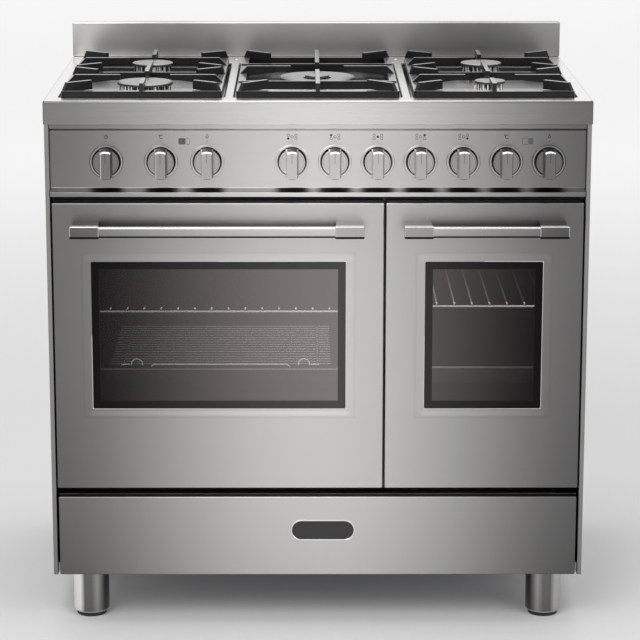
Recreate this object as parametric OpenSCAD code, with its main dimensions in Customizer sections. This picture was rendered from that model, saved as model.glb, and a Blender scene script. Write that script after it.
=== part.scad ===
// Range cooker, 900 mm wide, with a gas hob of five burners, two ovens side by side
// and a storage drawer below. Millimetres, +Z up, front towards -Y, origin on the
// floor under the middle of the bounding box.

/* [Overall size] */
// Width over the hob
width = 900; // [880:5:1000]
// Depth from the hob's front edge to the back
depth = 600; // [590:5:660]
// Height of the hob surface above the floor
hob_z = 900; // [880:5:940]
// Height of the upstand behind the hob
guard_h = 63.5; // [40:0.5:120]
// Thickness of the upstand from front to back
guard_t = 21; // [15:1:40]
// Height of the cabinet's underside above the floor
foot_h = 87.2; // [75:0.2:110]

/* [Casing] */
// Thickness of the casing sheets
sheet = 1.2; // [0.8:0.1:2]
// Distance of each side panel inside the hob's edge
side_inset = 1; // [0.5:0.5:4]
// Width of the side panels' front edge
flange_w = 7.7; // [6:0.1:14]
// Set-back of the side panels' front edge from the hob's edge
flange_y = 6; // [3:0.5:10]
// Set-back of the back panel from the back
rear_space = 25; // [22:1:40]
// Diameter of a foot's sleeve
foot_d = 61; // [58:1:70]
// Distance of the feet's middles from the hob's sides
foot_side = 60; // [55:5:150]
// Distance of the front feet from the hob's front edge
foot_front_y = 64; // [50:1:90]
// Distance of the rear feet from the back
foot_rear_y = 66; // [60:1:90]
// Diameter of a foot's rubber pad
pad_d = 50; // [30:1:52]
// Height of a foot's rubber pad
pad_h = 9.4; // [5:0.2:14]

/* [Hob] */
// Height of the hob's front apron
apron_h = 39.4; // [34:0.2:50]
// Distance from the middle of an outer burner well to the middle of the hob
well_x = 291; // [288:1:296]
// Width of the outer wells
well_w = 272; // [264:1:278]
// Width of the middle well
mid_well_w = 276; // [270:1:284]
// Distance of the wells from the hob's front edge
well_y = 36; // [30:1:40]
// Depth of the wells from front to back
well_d = 464; // [450:2:480]
// How far the wells are pressed down
well_h = 10; // [6:0.5:14]
// Corner radius of the wells
well_r = 12; // [6:1:20]
// Distance of the burners in front of and behind the middle of a well
burner_y = 113.5; // [108:0.5:118]

/* [Burners] */
// Cap diameter of the rapid burner, front left
cap_rapid = 94; // [84:1:100]
// Cap diameter of the semi-rapid burners at the rear
cap_semi = 72; // [60:1:80]
// Cap diameter of the auxiliary burner, front right
cap_aux = 51.5; // [44:0.5:58]
// Diameter of the triple ring burner's outer cap
cap_ring = 129.5; // [120:0.5:138]
// Diameter of the triple ring burner's inner cap
cap_core = 42; // [36:0.5:50]
// Thickness of a burner cap
cap_t = 4.5; // [3:0.5:6]
// Width of a flame port
port_w = 2.6; // [1.5:0.1:4]

/* [Pan supports] */
// Gap between a pan support and its well
support_gap = 3.5; // [2:0.5:6]
// Width of the support's frame bars
rail_w = 13; // [9:0.5:16]
// Height of the frame bars' top above the hob surface
rail_top = 10; // [7:0.5:12]
// Height of the fingers' top above the hob surface
finger_top = 23; // [20:0.5:32]
// Thickness of the fingers
finger_w = 7; // [5:0.5:9]
// Free radius over each burner's middle
finger_r = 42; // [38:1:48]
// Height of a support's feet over the well
stud_h = 4; // [3:0.5:5]

/* [Control panel] */
// Height of the trim strip over the panel
strip_h = 7.8; // [5:0.2:12]
// Set-back of the trim strip from the hob's edge
strip_y = 8; // [4:0.5:11]
// Height of the groove under the trim strip
groove_h = 3.4; // [2:0.2:6]
// Height of the panel's flat face
face_h = 95.4; // [84:0.2:104]
// Set-back of the panel's face from the hob's edge
face_y = 14; // [12:0.5:20]
// Height of the sloping edge under the face
slope_h = 6.7; // [4:0.1:12]
// Height of the lip at the panel's bottom
lip_h = 7.2; // [4:0.1:14]
// Set-back of the lip from the hob's edge
lip_y = 4; // [1:0.5:8]
// Free height between the panel and the doors
panel_gap = 10.3; // [6:0.1:16]

/* [Knobs] */
// Height of the knobs' axes above the bottom of the panel's face
knob_up = 43.3; // [38:0.1:50]
// Outer diameter of a bezel ring
bezel_d = 54.6; // [50:0.2:60]
// Width of a bezel ring
bezel_w = 3.2; // [2:0.2:4]
// Height of a bezel ring over the panel
bezel_h = 3; // [1.5:0.5:4]
// Diameter of a knob's disc
disc_d = 42; // [34:1:46]
// Thickness of a knob's disc
disc_t = 6; // [4:0.5:8]
// Gap between a knob's disc and the panel
disc_gap = 5; // [4.6:0.1:7]
// Length of a knob's grip
grip_l = 50; // [42:1:56]
// Width of a knob's grip
grip_w = 19; // [14:0.5:24]
// How far the grip stands out of the disc
grip_h = 19; // [12:0.5:22]
// Diameter of the spindles
spindle_d = 8; // [6:0.5:9]
// Pitch of the knobs for the burners
gas_pitch = 70.4; // [64:0.2:74]
// Place of the first knob for a burner
gas_x = -42.4; // [-60:0.2:-30]
// Travel of a pushed gas knob
push = 4; // [2:0.5:4.2]

/* [Doors] */
// Set-back of the doors' front from the hob's edge
door_y = 5; // [3:0.5:8]
// Depth of a door from its front to its inner face
door_t = 35; // [33:1:40]
// Place of the slit between the two doors
split_x = 111; // [90:1:130]
// Width of the slit between the two doors
split_gap = 3.5; // [2:0.1:6]
// Gap between a door and the side panel's edge
edge_gap = 2.2; // [1.5:0.1:4]
// Gap between the doors and the drawer front
drawer_gap = 15.1; // [14:0.1:20]
// Distance of the main window from the door's sides
main_window_side = 62.7; // [50:0.1:90]
// Distance of the small window from the door's sides
small_window_side = 65.4; // [55:0.1:90]
// Distance of the windows from the door's top
window_top = 99.4; // [84:0.1:120]
// Distance of the windows from the door's bottom
window_bottom = 138.6; // [110:0.1:180]
// Width of the pressed slope round a window
bevel_w = 15.5; // [8:0.5:20]
// Depth of the pressed slope round a window
bevel_h = 2.5; // [1:0.5:4]
// Thickness of a glass pane
pane_t = 4; // [3:0.5:5]
// Thickness of the door seals
seal_t = 4; // [3:0.5:6]

/* [Door handles] */
// How far the handles stand out in front of the hob's edge
handle_reach = 50; // [35:1:60]
// Height of a handle
handle_h = 21; // [14:0.5:26]
// Distance of a handle's middle from the door's top
handle_down = 39.7; // [30:0.1:44]
// Distance of the main handle's ends from the door's sides
main_handle_side = 33.2; // [20:0.2:60]
// Distance of the small handle's ends from the door's sides
small_handle_side = 28.4; // [20:0.2:50]
// Width of a handle's end block
block_w = 48.2; // [30:0.2:60]
// Thickness of a handle from front to back
handle_t = 15; // [12:0.5:18]

/* [Door hinges] */
// Distance of the hinge pins behind the door's front
pivot_back = 21; // [20:0.5:22]
// Height of the hinge pins above the door's bottom
pivot_up = 14; // [13:0.5:15]
// Diameter of a hinge pin
pin_d = 8; // [6:0.5:10]
// Thickness of a hinge bracket
bracket_t = 4; // [3:0.5:5]
// Distance of the hinges from the door's sides
hinge_in = 22; // [20:1:24]

/* [Ovens] */
// Height of the oven floor above the door's bottom
oven_sill = 44.6; // [40:0.2:54]
// Height of the door's top above the oven roof
oven_head = 39.8; // [34:0.2:50]
// Distance of an oven wall from the outer side of its door
oven_side = 34.2; // [32:0.2:44]
// Depth of the oven cavities
oven_depth = 435; // [410:5:450]
// Thickness of the insulation round the cavities
wool_t = 20; // [12:1:22]
// Height of the main tray's rim above the oven floor
main_tray_up = 149; // [140:1:160]
// Pitch of the main oven's shelf rungs
main_pitch = 48; // [44:1:52]
// Height of the small tray's rim above the oven floor
small_tray_up = 152; // [140:1:160]
// Pitch of the small oven's shelf rungs
small_pitch = 51; // [46:1:54]
// Diameter of the shelf rungs
rung_d = 5; // [4:0.5:6]
// Diameter of the shelves' frame wire
wire_d = 6; // [5:0.5:7]
// Pitch of the main shelf's cross wires
main_bar_pitch = 28.5; // [24:0.5:34]
// Pitch of the small shelf's cross wires
small_bar_pitch = 29.7; // [24:0.1:34]
// Depth of the oven trays
tray_h = 30; // [20:1:40]
// Diameter of the oven fan
fan_d = 140; // [110:2:160]

/* [Drawer] */
// Height of the drawer front
drawer_h = 138.1; // [132:0.1:150]
// Thickness of the drawer front
drawer_front_t = 20; // [14:0.5:24]
// Gap between the drawer front and the side panels' edge
drawer_side_gap = 3.3; // [2.4:0.1:5]
// Depth of the drawer box
drawer_d = 480; // [420:5:500]
// Height of the drawer box
drawer_box_h = 92; // [60:1:96]
// Space between the drawer box and the side panels for the runners
runner_space = 33; // [30:1:40]

/* [Hidden] */
$fn = 48;
fit = 0.05;
seat = 0.3;
play = 0.5;
eps = 0.01;
bead = 0.4;

// Places measured from the hob's front edge; this moves them to the common frame.
front_y = (handle_reach - depth) / 2;

// Casing
half_w = width / 2;
foot_x = half_w - foot_side;
side_x = half_w - side_inset;
side_in = side_x - sheet;
mouth_x = side_x - flange_w;
back_y = depth - rear_space;
apron_z = hob_z - apron_h;
face_top = apron_z - strip_h - groove_h;
face_bot = face_top - face_h;
lip_top = face_bot - slope_h;
lip_bot = lip_top - lip_h;
door_top = lip_bot - panel_gap;
drawer_top = foot_h + drawer_h;
door_bot = drawer_top + drawer_gap;
liner_y = door_y + door_t;
frame_y = liner_y + seal_t;
frame_t = 1.5;
deck_z = drawer_top + 3;
deck_t = 1.2;

// Doors, as [left, right]
main_door = [-mouth_x + edge_gap, split_x - split_gap / 2];
small_door = [split_x + split_gap / 2, mouth_x - edge_gap];
pivot_y = door_y + pivot_back;
pivot_z = door_bot + pivot_up;
knob_z = face_bot + knob_up;
handle_z = door_top - handle_down;
skin_d = 22;
liner_up = 8;
cheek_t = 2;
slot_side = 1.5;

// Ovens, as [left, right]
oven_bot = door_bot + oven_sill;
oven_top = door_top - oven_head;
main_oven = [main_door[0] + oven_side, main_door[1] - oven_side];
small_wall = 2;
small_oven = [small_door[0] + oven_side - small_wall, small_door[1] - oven_side + small_wall];
oven_y = frame_y + frame_t;
oven_back = oven_y + oven_depth;
oven_z = (oven_bot + oven_top) / 2;
fan_x = (main_oven[0] + main_oven[1]) / 2;
cover_d = 24;
cover_half = 168;
cover_up = 150;
cover_r = 12;
seal_w = 7;

// Shelves
rack_wire = rung_d / 2;
shelf_in = seat + rung_d + play + wire_d / 2;
rung_in = seat + 3 * rack_wire - play;
rack_front = oven_y + 40;
rack_back = oven_back - 70;
shelf_front = oven_y + 26;
shelf_back = oven_back - 50;
rung_drop = wire_d / 2 + seat + rack_wire;

// Hob and pan supports
well_z = hob_z - well_h;
well_mid = well_y + well_d / 2;
support_d = well_d - 2 * support_gap;
support_bot = well_z + stud_h;
bar_top = rail_top + 2;
slope_in = finger_top - rail_top;
frame_r = max(well_r - support_gap, 2);
tip_h = 8;
block_h = 15;
end_lean = 3;
diagonal_lean = 7;
corner_lean = 8;
fin_half = 12;
fin_up = 4;

// Each burner: place, cap diameter, height of the cap's top over the hob surface
front_left = [-well_x, well_mid - burner_y, cap_rapid, 11.6];
rear_left = [-well_x, well_mid + burner_y, cap_semi, 14.8];
rear_right = [well_x, well_mid + burner_y, cap_semi, 14.8];
front_right = [well_x, well_mid - burner_y, cap_aux, 13.4];
middle = [0, well_mid, cap_core, 8];
round_burners = [front_left, rear_left, rear_right, front_right, middle];
ring_top = 5;
crown_in = 3;
cup_d = 40;
cup_h = 26;
cup_bot = well_z - cup_h;
ring_cup_h = 18;
ring_cup_d = 110;
spark_d = 5;
spark_l = 26;
spark_up = 12;
spark_foot = 4;
spark_foot_d = 11;
spark_out = 9;
spark_angle = 135;

// Knobs, from left to right, and the burner that each gas knob serves
timer_side = 102;
timer_x = -half_w + timer_side;
main_temp_x = timer_x + 90;
main_mode_x = main_temp_x + 76;
gas_knob_x = [for (k = [0:4]) gas_x + k * gas_pitch];
small_temp_x = gas_knob_x[4] + gas_pitch;
small_mode_x = small_temp_x + gas_pitch;
switch_x = [timer_x, main_temp_x, main_mode_x, small_temp_x, small_mode_x];
knob_xs = concat(switch_x, gas_knob_x);
gas_order = [front_left, rear_left, middle, rear_right, front_right];
panel_back = face_y + sheet;
disc_back = face_y - disc_gap;
disc_front = disc_back - disc_t;
grip_front = disc_front - grip_h;
spindle_front = disc_front - 4;
tap_len = 46;
tap_w = 26;
tap_h = 30;
spindle_back = panel_back + 30;
manifold_s = 16;
manifold_y = panel_back + 26;
manifold_top = knob_z - tap_h / 2;
tube_d = 8;
tube_step = 12;
switch_s = 42;
switch_d = 24;

// Services at the back
inlet_side = 49;
inlet_x = side_x - inlet_side;
inlet_z = manifold_top - manifold_s / 2;
inlet_d = 20.96;
inlet_l = 15;
inlet_end = depth - 1;
pipe_d = 14;
terminal_side = 119;
terminal_x = side_x - terminal_side;
terminal_z = 150;
terminal_w = 90;
terminal_h = 60;
gland_d = 18;
gland_bore = 11;
gland_l = 16;
box_wall = 2;

// Drawer
drawer_x = mouth_x - drawer_side_gap;
box_x = side_in - runner_space;
box_bot = foot_h + 18;
box_y = door_y + drawer_front_t;
runner_z = box_bot + drawer_box_h / 2;
runner_h = 14;
runner_t = 6;
channel_t = 1.5;

// Helpers ------------------------------------------------------------------------

// Puts what is measured from the hob's front edge into the common frame.
module placed() {
    translate([0, front_y, 0]) children();
}

// A box from its lowest to its highest corner.
module slab(lo, hi) {
    translate(lo) cube(hi - lo);
}

// A round bar between two points.
module rod(a, b, d) {
    v = b - a;
    translate(a)
        rotate([0, acos(v[2] / norm(v)), atan2(v[1], v[0])])
            cylinder(h = norm(v), d = d);
}

// A round bar through a list of points, with slightly larger balls at the corners.
module bent_rod(points, d) {
    for (k = [0:len(points) - 2])
        rod(points[k], points[k + 1], d);
    for (k = [1:len(points) - 2])
        translate(points[k]) sphere(d = d + bead);
}

// Extrudes an outline drawn in X and Z backwards from y0.
module facing(y0, t) {
    translate([0, y0 + t, 0])
        rotate([90, 0, 0])
            linear_extrude(t) children();
}

// Extrudes an outline drawn in Y and Z from x0 to x1.
module along_x(x0, x1) {
    translate([x0, 0, 0])
        rotate([90, 0, 90])
            linear_extrude(x1 - x0) children();
}

// A rectangle between two corners, with round corners where r is over 0.
module round_rect(lo, hi, r) {
    translate(lo + [r, 0]) square(hi - lo - [2 * r, 0]);
    translate(lo + [0, r]) square(hi - lo - [0, 2 * r]);
    for (x = [lo[0] + r, hi[0] - r], z = [lo[1] + r, hi[1] - r])
        translate([x, z]) circle(r);
}

// Outline of a folded sheet: a line of points, thickened to its left.
function unit(v) = v / norm(v);
function normal(a, b) = let (d = unit(b - a)) [-d[1], d[0]];
function shifted(p, k, t) =
    let (before = k > 0 ? normal(p[k - 1], p[k]) : normal(p[k], p[k + 1]))
    let (after = k < len(p) - 1 ? normal(p[k], p[k + 1]) : before)
    let (mid = unit(before + after))
    p[k] + mid * t / (mid * after);
function folded(p, t) =
    concat(p, [for (k = [len(p) - 1:-1:0]) shifted(p, k, t)]);

// Casing -------------------------------------------------------------------------

foot_spots = [for (x = [-foot_x, foot_x], y = [foot_front_y, depth - foot_rear_y]) [x, y]];
stud_d = 10;
nut_h = 12;
foot_edge = 8;
lip_up = 14;
rear_lip = 30;
front_edge_y = drawer_front_t + door_y + 5;
rear_y = depth - 1;
vent_xs = [-300, -200, 100, 200];
vent_z = 600;
vent_w = 70;
vent_h = 5;
vent_pitch = 16;

module base_frame() placed() color("dimgray") {
    difference() {
        union() {
            slab([-side_in, frame_y + 2, foot_h], [side_in, back_y, foot_h + sheet]);
            slab([-mouth_x + seat, front_edge_y, foot_h],
                 [mouth_x - seat, frame_y + 3, foot_h + sheet]);
            slab([-mouth_x + seat, front_edge_y, foot_h],
                 [mouth_x - seat, front_edge_y + sheet, foot_h + lip_up]);
            slab([-side_in, back_y - sheet, foot_h], [side_in, back_y, foot_h + rear_lip]);
            for (p = foot_spots)
                translate([p[0], p[1], foot_h]) cylinder(h = nut_h, d = 2 * stud_d);
        }
        for (p = foot_spots)
            translate([p[0], p[1], foot_h - 1]) cylinder(h = nut_h + 2, d = stud_d + 2 * fit);
    }
    for (s = [-1, 1]) scale([s, 1, 1]) corner_tab();
}

// The bright tab that shows in the gap at each lower front corner.
module corner_tab() {
    lo = drawer_x + 0.4;
    hi = mouth_x - 0.4;
    facing(front_edge_y - 16, 17)
        polygon([[lo, foot_h + 19], [hi, foot_h + 19], [hi, foot_h + 8],
                 [hi - 0.8, foot_h + 2], [lo, foot_h + 10]]);
}

module feet() placed() color("silver") for (p = foot_spots)
    translate([p[0], p[1], 0]) foot();

module foot() {
    rotate_extrude() difference() {
        union() {
            translate([0, pad_h + foot_edge]) square([foot_d / 2, foot_h - pad_h - foot_edge]);
            translate([0, pad_h]) square([foot_d / 2 - foot_edge, foot_edge]);
            translate([foot_d / 2 - foot_edge, pad_h + foot_edge]) circle(foot_edge);
        }
        translate([0, pad_h - 1]) square([pad_d / 2 + seat, foot_h - pad_h - 2]);
        translate([-foot_d, 0]) square([foot_d, foot_h]);
    }
    translate([0, 0, pad_h + 10]) cylinder(h = foot_h + nut_h - pad_h - 10, d = stud_d);
    cylinder(h = pad_h + 10 - seat, d = pad_d);
}

module side_panel() color("gainsboro")
    translate([0, 0, foot_h]) linear_extrude(apron_z - foot_h)
        polygon(folded([[mouth_x, frame_y], [mouth_x, flange_y], [side_x, flange_y],
                        [side_x, rear_y], [side_x - 14, rear_y]], sheet));

module side_panel_right() placed() side_panel();

module side_panel_left() placed() mirror([1, 0, 0]) side_panel();

module back_panel() placed() color("lightgray") difference() {
    slab([-side_in, back_y, foot_h], [side_in, back_y + sheet, apron_z]);
    for (x = vent_xs, k = [0:7])
        slab([x, back_y - 1, vent_z + k * vent_pitch],
             [x + vent_w, back_y + sheet + 1, vent_z + k * vent_pitch + vent_h]);
    facing(back_y - 1, sheet + 2) {
        translate([inlet_x, inlet_z]) circle(pipe_d / 2 + 8);
        translate([fan_x, oven_z]) circle(motor_d / 2 + motor_room);
    }
    slab([terminal_x - terminal_w / 3, back_y - 1, terminal_z - terminal_h / 5],
         [terminal_x + terminal_w / 3, back_y + sheet + 1, terminal_z + terminal_h / 5]);
}

main_hinge_x = [main_door[0] + hinge_in, main_door[1] - hinge_in];
small_hinge_x = [small_door[0] + hinge_in, small_door[1] - hinge_in];
lug_r = 10;
arm_half = 6;

// The front plate round both oven mouths with the deck over the drawer, and the four
// hinge brackets riveted to it.
module front_frame() placed() color("#202020") {
    difference() {
        slab([-side_in, frame_y, deck_z], [side_in, frame_y + frame_t, lip_bot + 8]);
        oven_mouth(main_oven, frame_y - 1, frame_t + 2);
        oven_mouth(small_oven, frame_y - 1, frame_t + 2);
    }
    slab([-side_in, frame_y, deck_z], [side_in, back_y, deck_z + deck_t]);
    for (x = concat(main_hinge_x, small_hinge_x)) hinge_bracket(x);
}

module hinge_bracket(x) difference() {
    union() {
        along_x(x - bracket_t / 2, x + bracket_t / 2) {
            translate([pivot_y, pivot_z]) circle(lug_r);
            translate([pivot_y, pivot_z - arm_half]) square([frame_y - pivot_y, 2 * arm_half]);
        }
        slab([x - 9, frame_y - 1.6, pivot_z - lug_r], [x + 9, frame_y, pivot_z + 16]);
    }
    translate([x - bracket_t, pivot_y, pivot_z])
        rotate([0, 90, 0]) cylinder(h = 2 * bracket_t, d = pin_d + 2 * fit);
}

// Ovens --------------------------------------------------------------------------

mouth_r = 10;
flange_over = 9;
lamp_d = 34;
lamp_in = 36;
lamp_down = 50;
element_d = 8;
element_r = 88;
element_half = 12;
element_z = oven_z - sqrt(pow(element_r, 2) - pow(element_half, 2));
element_out = oven_back + sheet + element_d;
grill_down = 28;
grill_side = 55;
grill_front = 70;
grill_back = 60;
motor_y = oven_back + sheet + wool_t + 1;
motor_l = 42;
motor_d = 76;
shaft_in = motor_l - 12;
motor_room = 6;
fan_gap = 7;
blade_l = 14;
fan_hub_d = 18;
boss_d = 28;
main_lamp = [main_oven[0] + lamp_in, oven_top - lamp_down];
small_lamp = [small_oven[0] + lamp_in, oven_top - lamp_down];

// What fills an oven's mouth, grown by g on every side.
module oven_shape(oven, g) {
    round_rect([oven[0] - g, oven_bot - g], [oven[1] + g, oven_top + g], mouth_r + g);
}

module oven_mouth(oven, y, t) {
    facing(y, t) oven_shape(oven, 0);
}

module cavity(oven) difference() {
    union() {
        facing(oven_y, oven_depth + sheet) oven_shape(oven, sheet);
        facing(oven_y, sheet) oven_shape(oven, flange_over);
    }
    facing(oven_y - 1, oven_depth + 1) oven_shape(oven, 0);
}

// A hole through an oven's back wall and its insulation.
module back_hole(x, z, d) {
    translate([x, oven_back - 1, z]) rotate([-90, 0, 0]) cylinder(h = wool_t + 10, d = d);
}

module element_holes(x, z, d) {
    for (s = [-1, 1]) back_hole(x + s * element_half, z, d);
}

module main_oven_cavity() placed() color("#3a3a3c") difference() {
    cavity(main_oven);
    back_hole(fan_x, oven_z, 14);
    back_hole(main_lamp[0], main_lamp[1], lamp_d + 1);
    element_holes(fan_x, element_z, element_d + 1);
    element_holes(fan_x, oven_top - grill_down, element_d + 1);
}

module small_oven_cavity() placed() color("#3a3a3c") difference() {
    cavity(small_oven);
    back_hole(small_lamp[0], small_lamp[1], lamp_d + 1);
    element_holes((small_oven[0] + small_oven[1]) / 2, oven_top - grill_down, element_d + 1);
}

module wool(oven) difference() {
    facing(oven_y + sheet + seat, oven_depth + wool_t) oven_shape(oven, sheet + wool_t);
    facing(oven_y, oven_depth + sheet + seat) oven_shape(oven, sheet + seat);
}

module insulation() placed() color("khaki") {
    difference() {
        wool(main_oven);
        back_hole(fan_x, oven_z, boss_d + 2);
        back_hole(main_lamp[0], main_lamp[1], lamp_d + 14);
        element_holes(fan_x, element_z, element_d + 4);
        element_holes(fan_x, oven_top - grill_down, element_d + 4);
    }
    difference() {
        wool(small_oven);
        back_hole(small_lamp[0], small_lamp[1], lamp_d + 14);
        element_holes((small_oven[0] + small_oven[1]) / 2, oven_top - grill_down,
                      element_d + 4);
    }
}

module fan_cover() placed() color("#48484a") difference() {
    facing(oven_back - cover_d, cover_d)
        round_rect([fan_x - cover_half, oven_z - cover_up],
                   [fan_x + cover_half, oven_z + cover_up], cover_r);
    facing(oven_back - cover_d + sheet, cover_d)
        round_rect([fan_x - cover_half + sheet, oven_z - cover_up + sheet],
                   [fan_x + cover_half - sheet, oven_z + cover_up - sheet], cover_r - sheet);
    facing(oven_back - cover_d - 1, sheet + 2) {
        for (ring = [1:3], k = [0:6 * ring - 1])
            translate([fan_x, oven_z])
                rotate(k * 60 / ring) translate([ring * 17, 0]) circle(4);
        for (s = [-1, 1], k = [-3:3])
            translate([fan_x + s * 0.8 * cover_half, oven_z + k * 0.24 * cover_up])
                square([44, 8], center = true);
    }
}

module oven_fan() placed() color("silver") translate([fan_x, oven_back, oven_z])
    rotate([-90, 0, 0]) {
        translate([0, 0, -fan_gap]) cylinder(h = sheet, d = fan_d);
        translate([0, 0, -fan_gap - blade_l + 1]) cylinder(h = blade_l + 2, d = fan_hub_d);
        translate([0, 0, -fan_gap - 1])
            cylinder(h = motor_y + shaft_in - oven_back + fan_gap + 1, d = spindle_d);
        for (k = [0:11])
            rotate(k * 30) translate([fan_hub_d, -sheet / 2, -fan_gap - blade_l + 1])
                cube([fan_d / 2 - fan_hub_d - 6, sheet, blade_l]);
    }

module fan_motor() placed() color("slategray") translate([fan_x, 0, oven_z])
    difference() {
        rotate([-90, 0, 0]) {
            translate([0, 0, oven_back + sheet]) cylinder(h = motor_y - oven_back, d = boss_d);
            translate([0, 0, motor_y]) cylinder(h = motor_l, d = motor_d);
        }
        rotate([-90, 0, 0]) translate([0, 0, oven_back])
            cylinder(h = motor_y + shaft_in + 1 - oven_back, d = spindle_d + 2 * fit);
    }

// The loop of tube under an oven's roof.
module grill_element(oven) {
    x = (oven[0] + oven[1]) / 2;
    z = oven_top - grill_down;
    rear = oven_back - grill_back;
    front = oven_y + grill_front;
    bent_rod([[x - element_half, element_out, z], [x - element_half, rear, z],
              [oven[0] + grill_side, rear, z], [oven[0] + grill_side, front, z],
              [oven[1] - grill_side, front, z], [oven[1] - grill_side, rear, z],
              [x + element_half, rear, z], [x + element_half, element_out, z]], element_d);
    element_flange(x, z);
}

module element_flange(x, z) {
    slab([x - element_half - 10, oven_back - 1.5, z - element_d],
         [x + element_half + 10, oven_back, z + element_d]);
}

module heating_elements() placed() color("#6b6258") {
    grill_element(main_oven);
    grill_element(small_oven);
    translate([fan_x, oven_back - cover_d / 2, oven_z]) rotate([90, 0, 0])
        rotate_extrude() translate([element_r, 0]) circle(d = element_d);
    for (s = [-1, 1])
        rod([fan_x + s * element_half, oven_back - cover_d / 2, element_z],
            [fan_x + s * element_half, element_out, element_z], element_d - bead);
    element_flange(fan_x, element_z);
}

// A ladder rack on the wall at x; s points into the oven, z is its lowest rung.
module rack(x, s, z, pitch) {
    for (y = [rack_front, rack_back])
        rod([x + s * (seat + rack_wire), y, oven_bot + mouth_r],
            [x + s * (seat + rack_wire), y, oven_top - 4 * mouth_r], rung_d);
    for (k = [0:4])
        rod([x + s * rung_in, rack_front - 8, z + k * pitch],
            [x + s * rung_in, rack_back + 8, z + k * pitch], rung_d);
}

main_tray_z = oven_bot + main_tray_up;
small_tray_z = oven_bot + small_tray_up;
main_shelf_z = main_tray_z + 2 * main_pitch;
small_shelf_z = small_tray_z + 2 * small_pitch;

module side_racks() placed() color("silver") {
    for (side = [[main_oven[0], 1], [main_oven[1], -1]])
        rack(side[0], side[1], main_tray_z - 2 * main_pitch - rung_drop, main_pitch);
    for (side = [[small_oven[0], 1], [small_oven[1], -1]])
        rack(side[0], side[1], small_tray_z - 2 * small_pitch - rung_drop, small_pitch);
}

bar_d = 3;

module wire_shelf(oven, z, pitch) {
    x0 = oven[0] + shelf_in;
    x1 = oven[1] - shelf_in;
    count = floor((x1 - x0 - pitch / 2) / pitch);
    first = (x0 + x1 - count * pitch) / 2;
    bent_rod([[x0, shelf_front, z], [x1, shelf_front, z], [x1, shelf_back, z],
              [x0, shelf_back, z], [x0, shelf_front, z]], wire_d);
    translate([x0, shelf_front, z]) sphere(d = wire_d);
    for (k = [0:count])
        rod([first + k * pitch, shelf_front - 1, z + wire_d / 2 + bar_d / 2 - 0.6],
            [first + k * pitch, shelf_back + 1, z + wire_d / 2 + bar_d / 2 - 0.6], bar_d);
}

grid_half = 187;
grid_pitch = 17.5;
grid_bars = 17;
grid_y = oven_y + 36;

// The wire grid that stands in the main tray.
module tray_grid() {
    z = main_tray_z + 3;
    for (k = [0:grid_bars - 1])
        rod([fan_x - grid_half, grid_y + k * grid_pitch, z],
            [fan_x + grid_half, grid_y + k * grid_pitch, z], bar_d);
    for (s = [-1, 1]) {
        x = fan_x + s * (grid_half - 22);
        y1 = grid_y + (grid_bars - 1) * grid_pitch;
        rod([x, grid_y - 4, z - bar_d + 0.6], [x, y1 + 4, z - bar_d + 0.6], bar_d + 1);
        for (y = [grid_y + 10, y1 - 10])
            rod([x, y, z - bar_d], [x, y, main_tray_z - tray_h + seat], bar_d + 1);
    }
}

module wire_shelves() placed() color("silver") {
    wire_shelf(main_oven, main_shelf_z, main_bar_pitch);
    wire_shelf(small_oven, small_shelf_z, small_bar_pitch);
    tray_grid();
}

tray_rim = 8;
tray_r = 12;
tray_wall = 2;
rim_r = 6;

module tray(oven, z) {
    lo = [oven[0] + shelf_in + wire_d, shelf_front];
    hi = [oven[1] - shelf_in - wire_d, shelf_back];
    rim_z = z - rung_drop + rack_wire + seat;
    difference() {
        union() {
            translate([0, 0, z - tray_h - sheet])
                linear_extrude(rim_z - z + tray_h + 2 * sheet) round_rect(lo, hi, tray_r);
            translate([0, 0, rim_z]) linear_extrude(sheet)
                round_rect(lo - [tray_rim, 0], hi + [tray_rim, 0], rim_r);
        }
        translate([0, 0, z - tray_h])
            linear_extrude(tray_h + 10)
                round_rect(lo + [tray_wall, tray_wall], hi - [tray_wall, tray_wall],
                           tray_r - tray_wall);
    }
}

module oven_trays() placed() color("#2c2c30") {
    tray(main_oven, main_tray_z);
    tray(small_oven, small_tray_z);
}

module oven_lamp(p) translate([p[0], oven_back, p[1]]) rotate([-90, 0, 0]) {
    intersection() {
        sphere(d = lamp_d);
        translate([-lamp_d, -lamp_d, -lamp_d]) cube([2 * lamp_d, 2 * lamp_d, lamp_d]);
    }
    translate([0, 0, -2]) cylinder(h = 2, d = lamp_d + 8);
    translate([0, 0, -eps]) cylinder(h = sheet + eps, d = lamp_d);
    translate([0, 0, sheet]) cylinder(h = wool_t + 12, d = lamp_d + 8);
}

module oven_lamps() placed() color("ivory") {
    oven_lamp(main_lamp);
    oven_lamp(small_lamp);
}

module door_seals() placed() color("#303030") for (oven = [main_oven, small_oven])
    facing(liner_y + seat, seal_t - seat) difference() {
        oven_shape(oven, 3 + seal_w);
        oven_shape(oven, 3);
    }

// Doors --------------------------------------------------------------------------

pane_over = 9;
slot_half = bracket_t / 2 + slot_side;
liner_d = 22;
hinge_top = pivot_z + 70;

function window_lo(door, side) = [door[0] + side, door_bot + window_bottom];
function window_hi(door, side) = [door[1] - side, door_top - window_top];

// The window's outline, grown by g on every side.
module window_shape(door, side, g, r) {
    round_rect(window_lo(door, side) - [g, g], window_hi(door, side) + [g, g], r);
}

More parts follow.
